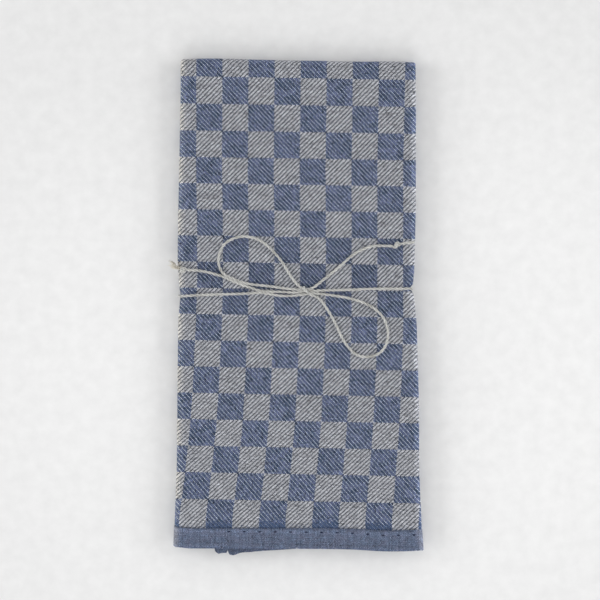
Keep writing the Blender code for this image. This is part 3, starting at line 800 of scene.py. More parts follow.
# Single bleached bast fibres: matt and pale, a little uneven in tone
place = add(tree, "ShaderNodeTexCoord").outputs["Object"]
uneven = add(tree, "ShaderNodeTexNoise", {"Vector": place, "Scale": 1 / COMBED_GRAIN, "Detail": 2.0})
tone = add(tree, "ShaderNodeMix", {"Factor": uneven, "A": "#cbc4b4", "B": "#f0ede4"}, **COLOURS)
end_material(combed, {"Base Color": tone, "Roughness": 0.8, "Specular IOR Level": 0.3})

# %% Fibres along the twine and at its frayed end
FUZZ_LOWEST = 4.0 * MM  # no fuzz on the run under the towel
LOOSE_START, LOOSE_STOP = (-82.6, 25.2), (-86.6, 27.8)  # beside the end, from its knot outwards
BRUSH_PAST_END = 0.6 * MM
WAY_POINTS, BRUSH_POINTS, HEIGHT_POINTS = 6, 4, 20  # of the line, counted back from its left-hand end

end_way = line[-1] - line[-WAY_POINTS]
end_way /= np.linalg.norm(end_way)
brush_line = np.array([line[-BRUSH_POINTS], line[-1] + end_way * BRUSH_PAST_END])
loose_line = np.array([(*LOOSE_START, 0.0), (*LOOSE_STOP, 0.0)]) * MM
loose_line[:, 2] = line[-HEIGHT_POINTS:, 2].mean()
FIBRES = {  # piece: carrier line, finish, spacing, start, length and radius in mm, spread, seed
    "twine_fuzz": (line_mesh("fuzz_line", line, FUZZ_LOWEST), twine_finish, 0.55, 0.75, 1.6, 0.03, 0.55, 3),
    "twine_frayed_end": (line_mesh("brush_line", brush_line), twine_finish, 0.07, 0.3, 2.4, 0.05, 0.6, 11),
    "twine_loose_fibres": (line_mesh("loose_line", loose_line), combed, 0.03, 0.2, 4.2, 0.045, 0.5, 5),
}
twine_fibres = [grow_fibres(name, *row) for name, row in FIBRES.items()]
for piece in twine_fibres:
    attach(piece, "root")

# %% [markdown]
# ## The cloth as one folded sheet
#
# The real towel is one flat cloth bent through all its folds, so we build it that way too. A
# grid of points covers the cloth. Across, it runs from the inner flap's free edge round the
# right fold, over the top panel, round the left fold and along the outer flap. Along, it runs
# from the upper hem over the groove, round the turned end and back to the lower hem. A
# simulation could fold a flat cloth, but not into these very edges.

# %% Points across the strip
INNER_EDGE, OUTER_EDGE = 0.155, 0.955  # shares of the width where the two flaps end
CORNER_TO, CORNER_COLUMNS = 0.32, 60  # the torn corner of the inner flap has closer columns
FLAP_COLUMNS, PANEL_COLUMNS, OUTER_COLUMNS = 16, 54, 26
RIGHT_BEND, LEFT_BEND = 8, 12  # columns round each side's fold


def spread_table(table, places, rounding=4):
    """Read a table smoothly: straight lines between its rows, rounded off over a short way."""
    table = np.array(table)
    dense = np.linspace(-0.1, 1.1, 601)
    values = np.interp(dense, table[:, 0], table[:, 1])
    kernel = np.exp(-np.linspace(-2, 2, 2 * rounding + 1) ** 2)
    values = np.convolve(np.pad(values, rounding, mode="edge"), kernel / kernel.sum(), mode="valid")
    return np.interp(places, dense, values)


def strip_section():
    """Each column's share of the width, bulge, height over mid-stack and hem line; the panel's columns."""
    inner_flap = np.concatenate([
        np.linspace(INNER_EDGE, CORNER_TO, CORNER_COLUMNS + 1)[:-1],
        np.linspace(CORNER_TO, 1.0, FLAP_COLUMNS),
    ])
    right = np.radians(np.linspace(-90, 90, RIGHT_BEND + 2))[1:-1]
    left = np.radians(np.linspace(90, 270, LEFT_BEND + 2))[1:-1]
    low, middle, top = 0.5 * PLY_PITCH, 1.5 * PLY_PITCH, 2.5 * PLY_PITCH
    stretches = (  # share, bulge and height along each stretch of columns
        (inner_flap, 0.0, middle),
        (np.ones(RIGHT_BEND), np.cos(right) * PLY_PITCH / 2, middle + PLY_PITCH / 2 * (1 + np.sin(right))),
        (np.linspace(1.0, 0.0, PANEL_COLUMNS), 0.0, top),
        (np.zeros(LEFT_BEND), np.cos(left) * PLY_PITCH, low + PLY_PITCH * (1 + np.sin(left))),
        (np.linspace(0.0, OUTER_EDGE, OUTER_COLUMNS), 0.0, low),
    )
    share, bulge, height = [
        np.concatenate([np.broadcast_to(row[k], row[0].shape) for row in stretches]) for k in range(3)
    ]
    flap = len(inner_flap)
    panel = slice(flap + RIGHT_BEND, flap + RIGHT_BEND + PANEL_COLUMNS)
    hem = np.concatenate([
        spread_table(INNER_HEM, share[:flap], 1), spread_table(TOP_HEM, share[flap:panel.stop]),
        np.linspace(TOP_HEM[0][1], OUTER_HEM[0][1], LEFT_BEND),
        spread_table(OUTER_HEM, share[panel.stop + LEFT_BEND:]),
    ]) * MM
    return share, bulge, height, hem, panel


share, bulge, height, hem_y, panel_columns = strip_section()
print("columns:", len(share))

# %% [markdown]
# The hem is the cloth's edge turned over onto its face and sewn down, so the sheet has a double
# ply there. Its rows run from the flap's upper edge down to the hem's fold, round it and back
# up under the flap. Each row keeps how far it lies from the hem's fold and on which side.

# %% Rows along the strip
HEM_PLY = 0.62 * MM
HEM_BEND = 0.36 * MM  # the hem fold's radius
SHEET_THICKNESS = 0.9 * MM
HEM_FADE = 3.0 * MM  # over which the cloth rises from under the hem
HEM_ROWS, BEND_ROWS, TURN_ROWS = 8, 6, 14
UPPER_ROWS, LOWER_ROWS = (42, 33, 42), (30, 13, 30)  # before the groove, in it, beyond it
GROOVE_REACH = 12 * MM  # rows lie closer together this far on either side of the twine
GROOVE_CROWDING = 1.5


def half_rows(open_rows, groove_rows, far_rows):
    """Rows of one half: which line each is measured from, how far, and its offset out of the sheet."""
    first = HEM_BEND + HEM_PLY / 2
    flap = [("hem", a, 1.0) for a in np.linspace(HEM_WIDTH, first, HEM_ROWS)]
    bend = [("hem", first - HEM_BEND * math.sin(t), math.cos(t))
            for t in np.linspace(0, math.pi, BEND_ROWS + 2)[1:-1]]
    under_flap = [("hem", a, -1.0) for a in np.linspace(first, HEM_WIDTH, HEM_ROWS)]
    rise = [("hem", HEM_WIDTH + HEM_FADE * s, -1.0 + eased(s)) for s in (0.25, 0.5, 0.75, 1.0)]
    rows = flap + bend + under_flap + rise
    rows += [("open", s, 0.0) for s in np.linspace(0, 1, open_rows + 1)[1:-1]]
    spaced = np.linspace(-1, 1, groove_rows)
    rows += [("band", d, 0.0) for d in GROOVE_REACH * np.sign(spaced) * np.abs(spaced) ** GROOVE_CROWDING]
    rows += [("far", s, 0.0) for s in np.linspace(0, 1, far_rows + 1)[1:]]
    return rows


turn_rows = [("turn", a, 0.0) for a in np.radians(np.linspace(90, -90, TURN_ROWS + 2))[1:-1]]
rows = [(1, *row) for row in half_rows(*UPPER_ROWS)]
rows += [(0, *row) for row in turn_rows]
rows += [(-1, *row) for row in reversed(half_rows(*LOWER_ROWS))]
print("rows:", len(rows))

# %% Bend the sheet
WAVE_ON_FACE, WAVE_INSIDE = 0.05, 0.13  # mm


def ply_wave(x, y, z):
    """The slight unevenness of each ply, less on the pressed top and bottom."""
    inside = 1.0 - np.abs(z / HALF_STACK - 1.0) ** 4
    wave = (np.sin(x / (21 * MM) + 1.3 * z / MM + 0.7) * np.sin(y / (27 * MM) + 2.1 * z / MM)
            + 0.6 * np.sin(x / (9 * MM) - y / (13 * MM) + 3.7 * z / MM))
    return wave * (WAVE_ON_FACE + WAVE_INSIDE * inside) * MM


def bend_row(row):
    """All points of one row, their way along the strip, and their way up from the hem's fold."""
    half, anchor, amount, _ = row
    turn_y = spread_table(TURNED_END, share) * MM - HALF_STACK
    edge = hem_y if half >= 0 else spread_table(LOWER_HEM, share) * MM
    stretch = 1 + HEM_WIDENING * share
    groove_y = band_y((share - 0.5) * 2 * side_edge(0.0, 2))
    in_hem = 0.0
    if half == 0:
        y = turn_y + height * math.cos(amount)
        z = HALF_STACK + height * math.sin(amount)
        strip = turn_y + height * (math.pi / 2 - amount)
    else:
        if anchor == "hem":
            y = edge + amount * stretch
            in_hem = float(np.clip((HEM_WIDTH + HEM_FADE - amount) / HEM_FADE, 0, 1))
        elif anchor == "open":
            start, stop = edge + (HEM_WIDTH + HEM_FADE) * stretch, groove_y - GROOVE_REACH
            y = start + (stop - start) * amount
        elif anchor == "band":
            y = groove_y + amount
        else:
            y = groove_y + GROOVE_REACH + (turn_y - groove_y - GROOVE_REACH) * amount
        z = HALF_STACK + half * height
        strip = y if half > 0 else 2 * turn_y + math.pi * height - y
    left = side_edge(y, 1) + PLY_PITCH + CLOTH_THICKNESS / 2
    right = side_edge(y, 2) - PLY_PITCH / 2 - CLOTH_THICKNESS / 2
    x = left + (right - left) * share + bulge
    z = settled(x, y, z, in_hem) + ply_wave(x, y, z)
    z = np.maximum(z, SHEET_THICKNESS / 2 + in_hem * (HEM_BEND + HEM_PLY / 2 - SHEET_THICKNESS / 2))
    return np.stack([x, y, z], 1), strip, (y - edge) / stretch


bent = [bend_row(row) for row in rows]
sheet_points = np.array([b[0] for b in bent])
strip_place = np.array([b[1] for b in bent])
from_hem = np.array([b[2] for b in bent])
print("sheet: %d x %d points" % sheet_points.shape[:2])

# %% [markdown]
# ## Where each point lies on the flat cloth
#
# We give each point its place on the flat cloth in metres. On the top panel this comes from
# where the squares lie: the columns lean a little, more towards the hems, and the rows fall
# slightly to the right. Round the folds and on the flaps it is the way along the cloth.

# %% Flat places
SQUARE_ACROSS = 18.24 * MM
SQUARE_ALONG = 18.44 * MM
CHECK_LIE = np.array((  # y, x of a column's edge, width of a square, way ahead of y at the left and right
    (-150.0, -83.3, 18.63, 153.7, 156.9), (-120.0, -79.5, 18.47, 153.2, 156.3),
    (-84.0, -75.5, 18.30, 153.0, 156.0), (-48.0, -73.2, 18.23, 152.9, 156.0),
    (-12.0, -71.5, 18.16, 153.0, 155.9), (24.0, -70.5, 18.01, 153.2, 156.0),
    (60.0, -70.7, 18.04, 153.5, 156.1), (96.0, -71.4, 18.13, 153.8, 156.3),
    (132.0, -71.2, 18.20, 153.6, 156.1), (168.0, -71.2, 18.28, 152.4, 155.2),
)) * MM
LIE_LEFT, LIE_RIGHT = -80.0 * MM, 80.0 * MM
OPEN_ROW = 60  # a row between the hem and the groove


def flat_places():
    """Across and along on the flat cloth for each point of the sheet."""
    across = np.zeros(strip_place.shape)
    first, width, left, right = [
        np.interp(strip_place, CHECK_LIE[:, 0], CHECK_LIE[:, k]) for k in (1, 2, 3, 4)
    ]
    x = sheet_points[..., 0]
    across[:, panel_columns] = ((x - first) / width * SQUARE_ACROSS)[:, panel_columns]
    steps = np.linalg.norm(np.diff(sheet_points, axis=1), axis=2)
    start, stop = panel_columns.start, panel_columns.stop
    for column in range(start - 1, -1, -1):
        across[:, column] = across[:, column + 1] + steps[:, column]
    for column in range(stop, across.shape[1]):
        across[:, column] = across[:, column - 1] - steps[:, column - 1]
    along = strip_place + left + (right - left) * (x - LIE_LEFT) / (LIE_RIGHT - LIE_LEFT)
    return across, along


across, along = flat_places()
print("flat width: %.0f mm" % (np.ptp(across[OPEN_ROW]) / MM))

# %% Worn places and painted highlights on the folds
# the folded sides are lighter in colour: partly rubbed wear, partly a painted highlight where they catch the
# side light
LIT_AND_RUBBED_WIDTH = 4.5 * MM
TURNED_END_RIM_LESS = 3  # the turned end is rubbed this many times less than the sides
FRAYED_LENGTH, FRAYED_FADE = 55.0 * MM, 20.0 * MM
BESIDE_TWINE_PLACE, BESIDE_TWINE_REACH = 11.0 * MM, 22.0 * MM


def lit_and_rubbed_folds():
    """1 on the folded sides, a third of that on the turned end, 0 from a few millimetres inside them."""
    x, y = sheet_points[..., 0], sheet_points[..., 1]
    inside = np.minimum(x - x.min(1, keepdims=True), x.max(1, keepdims=True) - x)
    before_end = y.max(0, keepdims=True) - y
    on_end = (1.0 - eased(before_end / LIT_AND_RUBBED_WIDTH)) / TURNED_END_RIM_LESS
    return np.maximum(1.0 - eased(inside / LIT_AND_RUBBED_WIDTH), on_end)


def beside_twine_far_side():
    """1 beside the twine on its far side, 0 away from it; the blue squares are darker there."""
    beside = sheet_points[..., 1] - band_y(sheet_points[..., 0])
    return np.exp(-((beside - BESIDE_TWINE_PLACE) / BESIDE_TWINE_REACH) ** 2)


def frayed_corner():
    """1 on the inner flap's hem near its torn corner."""
    from_corner = sheet_points[..., 0] - sheet_points[:, :1, 0]
    near_corner = 1.0 - eased((from_corner - FRAYED_LENGTH) / FRAYED_FADE)
    flap = np.arange(sheet_points.shape[1])[None, :] < panel_columns.start - RIGHT_BEND
    return np.where(flap & (from_hem < HEM_WIDTH), near_corner, 0.0)


cloth_marks = {"rubbed_and_lit": lit_and_rubbed_folds(), "frayed": frayed_corner(), "beside_twine": beside_twine_far_side()}
print("worn:", ", ".join("%s %.2f" % (label, values.mean()) for label, values in cloth_marks.items()))

# %% Make the sheet
TOP_FACES = 10.5 * MM  # faces higher than this are the towel's top
columns = len(share)


def sheet_mesh():
    """The sheet's mid-surface with the hems' flaps lifted off it, its faces and its numbers."""
    side = np.gradient(sheet_points, axis=1)
    ahead = np.gradient(sheet_points, axis=0)
    in_hem = np.array([row[1] == "hem" for row in rows])
    ahead[in_hem, :, 2] = 0.0
    ahead[in_hem, :, 1] = np.array([row[0] for row in rows])[in_hem, None]
    normal = np.cross(ahead, side)
    normal /= np.linalg.norm(normal, axis=2)[..., None]
    offset = np.array([row[3] for row in rows])[:, None, None] * HEM_BEND
    points = sheet_points + normal * offset
    mesh = bpy.data.meshes.new("towel_sheet")
    number = np.arange(len(rows) * columns).reshape(-1, columns)
    faces = np.stack([number[:-1, :-1], number[:-1, 1:], number[1:, 1:], number[1:, :-1]], 2).reshape(-1, 4)
    mesh.from_pydata(points.reshape(-1, 3).tolist(), [], faces.tolist())
    flat = np.stack([across, along, from_hem], 2).astype(np.float32)
    mesh.attributes.new("flat_place", "FLOAT_VECTOR", "POINT").data.foreach_set("vector", flat.ravel())
    note_numbers(mesh, **cloth_marks)
    return mesh, points


def single_share(row):
    """1 for a row of single cloth, 0 for one of the hem, and between them on the rise from under it."""
    if row[1] != "hem":
        return 1.0
    return float(1.0 + row[3]) if row[2] > HEM_WIDTH else 0.0


mesh, sheet_surface = sheet_mesh()
towel = bpy.data.objects.new("towel_cloth", mesh)
bpy.context.scene.collection.objects.link(towel)
single = towel.vertex_groups.new(name="single ply")
for number, row in enumerate(rows):
    single.add(list(range(number * columns, (number + 1) * columns)), single_share(row), "REPLACE")
body = towel.modifiers.new("cloth", "SOLIDIFY")
body.thickness = SHEET_THICKNESS
body.offset = 0.0
body.vertex_group = "single ply"
body.thickness_vertex_group = HEM_PLY / SHEET_THICKNESS
body.use_even_offset = False
cloth_mesh = plain_mesh(towel)
cloth_mesh.shade_smooth()
up = [face.normal.z > 0 for face in cloth_mesh.polygons if face.center.z > TOP_FACES]
print("share of the top that faces up: %.2f" % np.mean(up))

# %% [markdown]
# ## The weave
#
# In a light square each weft floats over three warps, in a blue one each warp over three wefts,
# and the twill lines turn the other way. One thread is a pixel wide in the photo, so a picture
# of the weave would be as large as the photo. Instead the nodes work out for each point which
# thread it is on, which one is on top, and how far along its float it lies. The threads wander a
# little, as they do in washed linen, so we shift the places by a soft noise first.

# %% Where each thread runs
THREADS = 24.0  # in a square, both ways
WANDER = 0.5  # threads
WANDER_REACH = 1.7 * MM
FIRST_SQUARE = {"end": -99.0, "pick": 0.0}  # the last row of squares runs on into the hem

linen, tree = new_material("checked_linen_cotton_twill")
# Yarn-dyed cloth, washed soft: matt, each float a small rounded ridge that catches the light, with painted
# shade between the floats
place = add(tree, "ShaderNodeAttribute", attribute_name="flat_place").outputs["Vector"]
parts = add(tree, "ShaderNodeSeparateXYZ", {"Vector": place}).outputs
wander = add(tree, "ShaderNodeTexNoise", {"Vector": place, "Scale": 1 / WANDER_REACH, "Detail": 1.0})
wander = add(tree, "ShaderNodeSeparateXYZ", {"Vector": wander.outputs["Color"]}).outputs
threads = {}
for kind, axis, square in (("end", "X", SQUARE_ACROSS), ("pick", "Y", SQUARE_ALONG)):
    shift = add(tree, "ShaderNodeMath", {
        0: wander[axis], 1: 2 * WANDER, 2: -WANDER,
    }, operation="MULTIPLY_ADD")
    count = add(tree, "ShaderNodeMath", {
        0: parts[axis], 1: THREADS / square, 2: shift,
    }, operation="MULTIPLY_ADD")
    squares = add(tree, "ShaderNodeMath", {0: count, 1: 1 / THREADS}, operation="MULTIPLY")
    whole = add(tree, "ShaderNodeMath", {0: squares}, operation="FLOOR")
    threads[kind] = count
    threads[kind + " number"] = add(tree, "ShaderNodeMath", {0: count}, operation="FLOOR")
    threads[kind + " part"] = add(tree, "ShaderNodeMath", {0: count}, operation="FRACT")
    threads[kind + " square"] = add(tree, "ShaderNodeMath", {
        0: whole, 1: FIRST_SQUARE[kind],
    }, operation="MAXIMUM")
print("threads: %.1f in a centimetre" % (THREADS / SQUARE_ALONG * 0.01))

# %% Which square, which thread on top
TWILL_REPEAT = 4.0  # threads: a float over three and a crossing

both = add(tree, "ShaderNodeMath", {0: threads["end square"], 1: threads["pick square"]}, operation="ADD")
blue_square = add(tree, "ShaderNodeMath", {0: both, 1: 2.0}, operation="FLOORED_MODULO")
twill_way = add(tree, "ShaderNodeMath", {0: blue_square, 1: 2.0, 2: -1.0}, operation="MULTIPLY_ADD")
stepped = add(tree, "ShaderNodeMath", {
    0: threads["pick number"], 1: twill_way, 2: threads["end number"],
}, operation="MULTIPLY_ADD")
step_number = add(tree, "ShaderNodeMath", {0: stepped, 1: TWILL_REPEAT}, operation="FLOORED_MODULO")
crossing = add(tree, "ShaderNodeMath", {0: step_number, 1: 0.5}, operation="LESS_THAN")
differs = add(tree, "ShaderNodeMath", {0: blue_square, 1: crossing}, operation="SUBTRACT")
warp_up = add(tree, "ShaderNodeMath", {0: differs}, operation="ABSOLUTE")
print("twill lines in a square: %d" % (THREADS / TWILL_REPEAT))

# %% Shape of the float
ROUNDED_ACROSS, ROUNDED_ALONG = 2.5, 3.0  # powers: the higher, the flatter on top

length_part = add(tree, "ShaderNodeMix", {
    "Factor": warp_up, "A": threads["end part"], "B": threads["pick part"],
}, data_type="FLOAT")
width_part = add(tree, "ShaderNodeMix", {
    "Factor": warp_up, "A": threads["pick part"], "B": threads["end part"],
}, data_type="FLOAT")
on_float = add(tree, "ShaderNodeMath", {0: step_number, 1: length_part}, operation="ADD")
in_float = add(tree, "ShaderNodeMath", {0: on_float, 1: -1.0}, operation="ADD")
float_part = add(tree, "ShaderNodeMath", {0: in_float, 1: 1 / (TWILL_REPEAT - 1)}, operation="MULTIPLY")
along_float = add(tree, "ShaderNodeMix", {
    "Factor": crossing, "A": float_part, "B": length_part,
}, data_type="FLOAT")
shapes = []
for position, power in ((width_part, ROUNDED_ACROSS), (along_float, ROUNDED_ALONG)):
    centred = add(tree, "ShaderNodeMath", {0: position, 1: 2.0, 2: -1.0}, operation="MULTIPLY_ADD")
    away = add(tree, "ShaderNodeMath", {0: centred}, operation="ABSOLUTE")
    fall = add(tree, "ShaderNodeMath", {0: away, 1: power}, operation="POWER")
    shapes.append(add(tree, "ShaderNodeMath", {0: 1.0, 1: fall}, operation="SUBTRACT"))
ridge = add(tree, "ShaderNodeMath", {0: shapes[0], 1: shapes[1]}, operation="MULTIPLY")
print("nodes so far:", len(tree.nodes))

# %% [markdown]
# ## Uneven yarn
#
# Flax is spun from bundles of fibres, so no thread is even. Each thread has its own tone, each
# float too, slubs run along a thread for some millimetres, and the surface is a little hairy.
# Now and then a dark piece of straw is spun in. We add all of it up into one brightness.

# %% Brightness of the yarn
SLUB_LENGTH = 5.0 * MM
HAIR = 0.4 * MM
GRAIN = 0.62 * MM
CLOUD = 25.0 * MM
FIRST_WARP = 1000.0  # added to the warps' numbers, so that no warp of the top has a weft's tone
SLUBS_APART = 7.3  # slub noise between one thread and the next
STEADIER, STEADY_LIFT = 0.9, 0.1  # the light squares' brightness varies less
STRAW_SHARE, STRAW_DARK = 0.004, 0.35  # of all floats, and how much darker

warp_number = add(tree, "ShaderNodeMath", {0: threads["end number"], 1: FIRST_WARP}, operation="ADD")
thread_number = add(tree, "ShaderNodeMix", {
    "Factor": warp_up, "A": threads["pick number"], "B": warp_number,
}, data_type="FLOAT")
run = add(tree, "ShaderNodeMix", {"Factor": warp_up, "A": parts["X"], "B": parts["Y"]}, data_type="FLOAT")
thread_tone = add(tree, "ShaderNodeTexWhiteNoise", {"W": thread_number}, noise_dimensions="1D")
far = add(tree, "ShaderNodeMath", {0: run, 1: 1 / SLUB_LENGTH}, operation="MULTIPLY")
apart = add(tree, "ShaderNodeMath", {0: thread_number, 1: SLUBS_APART}, operation="MULTIPLY")
slub_place = add(tree, "ShaderNodeCombineXYZ", {"X": far, "Y": apart})
slub = add(tree, "ShaderNodeTexNoise", {"Vector": slub_place, "Scale": 1.0, "Detail": 2.0})
float_count = add(tree, "ShaderNodeMath", {0: stepped, 1: 1 / TWILL_REPEAT}, operation="MULTIPLY")
float_number = add(tree, "ShaderNodeMath", {0: float_count}, operation="FLOOR")
float_place = add(tree, "ShaderNodeCombineXYZ", {"X": thread_number, "Y": float_number})
float_tone = add(tree, "ShaderNodeTexWhiteNoise", {"Vector": float_place}, noise_dimensions="2D")
hair = add(tree, "ShaderNodeTexNoise", {"Vector": place, "Scale": 1 / HAIR, "Detail": 3.0, "Roughness": 0.7})
grain = add(tree, "ShaderNodeTexNoise", {"Vector": place, "Scale": 1 / GRAIN, "Detail": 0.0})
cloud = add(tree, "ShaderNodeTexNoise", {"Vector": place, "Scale": 1 / CLOUD, "Detail": 1.0})
brightness = 1.0
for tone, spread in (
    (thread_tone, 0.15), (slub, 0.25), (float_tone, 0.5), (hair, 1.7), (grain, 2.0), (cloud, 0.08),
):
    centred = add(tree, "ShaderNodeMath", {0: tone, 1: spread, 2: -spread / 2}, operation="MULTIPLY_ADD")
    brightness = add(tree, "ShaderNodeMath", {0: centred, 1: brightness}, operation="ADD")
steady = add(tree, "ShaderNodeMath", {0: brightness, 1: STEADIER, 2: STEADY_LIFT}, operation="MULTIPLY_ADD")
brightness = add(tree, "ShaderNodeMix", {
    "Factor": blue_square, "A": steady, "B": brightness,
}, data_type="FLOAT")
straw = add(tree, "ShaderNodeMath", {0: float_tone, 1: STRAW_SHARE}, operation="LESS_THAN")
brightness = add(tree, "ShaderNodeMath", {0: straw, 1: -STRAW_DARK, 2: brightness}, operation="MULTIPLY_ADD")
print("nodes so far:", len(tree.nodes))

# %% [markdown]
# ## Thread colours and the plain ends
#
# A float stands proud and shows its own colour. Where the other thread comes up for one crossing
# it lies deep between its neighbours, so its colour is painted darker, as painted shade, and takes
# on their colour; painted shade also darkens each float towards its sides and ends. The last
# centimetres of the cloth are woven plain, without a check. Turned over, that is the hem: a
# mixed blue of small even crossings, a little paler just below its seam, with painted shade of
# dark navy at its lower fold, where nicks of the dye are rubbed off, and paler where the folded
# sides stand proud, partly rubbed and partly a painted highlight. Above the seam a few
# millimetres of it show in the blue squares.

# %% Twill colours
PLAIN_MARGIN = 4.6 * MM
BLUE_LINE = 1.8 * MM  # beside the seam the light squares are bluish too
RAGGED, RAGGED_BY = 1.5 * MM, 6.0 * MM  # the margin's edge: size of its steps, and their reach at most
MARGIN_NAVY, SEAM_NAVY = 0.7, 0.5
DYE_PATCH = 5.0 * MM
# DEEPEST is the painted shade between the floats
DEEPEST, FULL_FROM = 0.36, 0.85  # tone between the floats, and the share of a float's rise with its full tone

ragged = add(tree, "ShaderNodeTexNoise", {"Vector": place, "Scale": 1 / RAGGED, "Detail": 2.0})
blur = add(tree, "ShaderNodeMath", {0: ragged, 1: 2 * RAGGED_BY, 2: -RAGGED_BY}, operation="MULTIPLY_ADD")
up = add(tree, "ShaderNodeMath", {0: parts["Z"], 1: blur}, operation="ADD")
in_margin = add(tree, "ShaderNodeMath", {0: up, 1: HEM_WIDTH + PLAIN_MARGIN}, operation="LESS_THAN")
navy = add(tree, "ShaderNodeMath", {0: in_margin, 1: blue_square}, operation="MULTIPLY")
navy = add(tree, "ShaderNodeMath", {0: navy, 1: MARGIN_NAVY}, operation="MULTIPLY")
by_seam = add(tree, "ShaderNodeMapRange", {
    "Value": up, "From Min": HEM_WIDTH, "From Max": HEM_WIDTH + BLUE_LINE, "To Min": SEAM_NAVY, "To Max": 0.0,
})
navy = add(tree, "ShaderNodeMath", {0: navy, 1: by_seam}, operation="MAXIMUM")

dye = add(tree, "ShaderNodeTexNoise", {"Vector": place, "Scale": 1 / DYE_PATCH, "Detail": 3.0})
dye = add(tree, "ShaderNodeMapRange", {"Value": dye, "From Min": 0.34, "From Max": 0.66})
blue = add(tree, "ShaderNodeMix", {"Factor": dye, "A": "#35445b", "B": "#5e6787"}, **COLOURS)
floats = add(tree, "ShaderNodeMix", {"Factor": warp_up, "A": "#acaeb4", "B": blue}, **COLOURS)
# painted shade: a crossing thread's colour is darker than its float and takes on its neighbours' colour
crossings_painted_shade = add(tree, "ShaderNodeMix", {"Factor": warp_up, "A": "#9ba5b8", "B": "#464b58"}, **COLOURS)
twill = add(tree, "ShaderNodeMix", {"Factor": crossing, "A": floats, "B": crossings_painted_shade}, **COLOURS)
twill = add(tree, "ShaderNodeMix", {"Factor": navy, "A": twill, "B": "#425474"}, **COLOURS)
# painted shade: the colour is multiplied darker towards each float's sides and ends and between the floats
shade = add(tree, "ShaderNodeMapRange", {
    "Value": ridge, "From Min": 0.0, "From Max": FULL_FROM, "To Min": DEEPEST, "To Max": 1.0,
})
twill = add(tree, "ShaderNodeMix", {"Factor": 1.0, "A": twill, "B": shade}, **TIMES)
print("nodes so far:", len(tree.nodes))

# %% Colours of the plain ends
PLAIN_FINER = 1.46  # threads of the plain ends to one of the twill
STREAK_SPREAD, STREAK_LEAST = 0.36, 0.82
TINGE = 4.0 * MM

finer = []
for kind in ("end", "pick"):
    count = add(tree, "ShaderNodeMath", {0: threads[kind], 1: PLAIN_FINER}, operation="MULTIPLY")
    finer.append(add(tree, "ShaderNodeMath", {0: count}, operation="FLOOR"))
either = add(tree, "ShaderNodeMath", {0: finer[0], 1: finer[1]}, operation="ADD")
plain_weft = add(tree, "ShaderNodeMath", {0: either, 1: 2.0}, operation="FLOORED_MODULO")
plain = add(tree, "ShaderNodeMix", {"Factor": plain_weft, "A": "#323e5a", "B": "#767e8e"}, **COLOURS)
tinge = add(tree, "ShaderNodeTexNoise", {"Vector": place, "Scale": 1 / TINGE, "Detail": 1.0})
tinge = add(tree, "ShaderNodeMapRange", {"Value": tinge, "From Min": 0.38, "From Max": 0.62})
tinge = add(tree, "ShaderNodeMix", {"Factor": tinge, "A": "#fcf8fb", "B": "#f4faff"}, **COLOURS)
streaks = [add(tree, "ShaderNodeTexWhiteNoise", {"W": numbers}, noise_dimensions="1D") for numbers in finer]
streaks = [
    add(tree, "ShaderNodeMath", {0: streak, 1: STREAK_SPREAD, 2: STREAK_LEAST}, operation="MULTIPLY_ADD")
    for streak in streaks
]
for tone in (*streaks, tinge):
    plain = add(tree, "ShaderNodeMix", {"Factor": 1.0, "A": plain, "B": tone}, **TIMES)
print("nodes so far:", len(tree.nodes))

# %% Zones of the hem
HEM_OVER_SEAM = 0.05 * MM  # takes in the flap's very edge
LIT_AND_RUBBED_HEM = 0.3  # how far the rubbed sides turn the hem grey
PATCH, PATCH_BY = 1.1 * MM, 1.75 * MM  # patches that make the fold's shade uneven, and by how much
EDGE_SHADE, EDGE_SHADE_SHARE = 1.3 * MM, 0.28
NICK = 2.2 * MM  # where the dye is rubbed off the hem's fold
NICK_FULL, NICK_GONE = 0.2 * MM, 1.0 * MM

in_hem = add(tree, "ShaderNodeMath", {0: parts["Z"], 1: HEM_WIDTH + HEM_OVER_SEAM}, operation="LESS_THAN")
rubbed_and_lit, beside_twine, frayed = [
    add(tree, "ShaderNodeAttribute", attribute_name=label).outputs["Fac"]
    for label in ("rubbed_and_lit", "beside_twine", "frayed")
]
# partly wear, partly painted highlight: the hem turns grey at the folded sides, and warmer on the left
lit_and_rubbed_hem = add(tree, "ShaderNodeMath", {0: rubbed_and_lit, 1: in_hem}, operation="MULTIPLY")
lit_and_rubbed_hem = add(tree, "ShaderNodeMath", {0: lit_and_rubbed_hem, 1: LIT_AND_RUBBED_HEM}, operation="MULTIPLY")
on_left = add(tree, "ShaderNodeMath", {0: parts["X"], 1: 0.0}, operation="LESS_THAN")
left_rim_warmth = add(tree, "ShaderNodeMath", {0: rubbed_and_lit, 1: on_left}, operation="MULTIPLY")
lit_and_rubbed_tint = add(tree, "ShaderNodeMix", {"Factor": left_rim_warmth, "A": "#ffffff", "B": "#fff9eb"}, **COLOURS)
# painted shade of dark navy along the hem's lower fold, in uneven patches
patches = add(tree, "ShaderNodeTexNoise", {"Vector": place, "Scale": 1 / PATCH, "Detail": 2.0})
patches = add(tree, "ShaderNodeMath", {0: patches, 1: 2 * PATCH_BY, 2: -PATCH_BY}, operation="MULTIPLY_ADD")
from_fold = add(tree, "ShaderNodeMath", {0: parts["Z"], 1: patches}, operation="ADD")
fold_painted_shade = add(tree, "ShaderNodeMapRange", {
    "Value": from_fold, "From Max": EDGE_SHADE, "To Min": EDGE_SHADE_SHARE, "To Max": 0.0,
})
nicks = add(tree, "ShaderNodeTexNoise", {"Vector": place, "Scale": 1 / NICK, "Detail": 1.0})
nicks = add(tree, "ShaderNodeMapRange", {"Value": nicks, "From Min": 0.6, "From Max": 0.68, "To Max": 0.8})
at_fold = add(tree, "ShaderNodeMapRange", {
    "Value": from_fold, "From Min": NICK_FULL, "From Max": NICK_GONE, "To Min": 1.0, "To Max": 0.0,
})
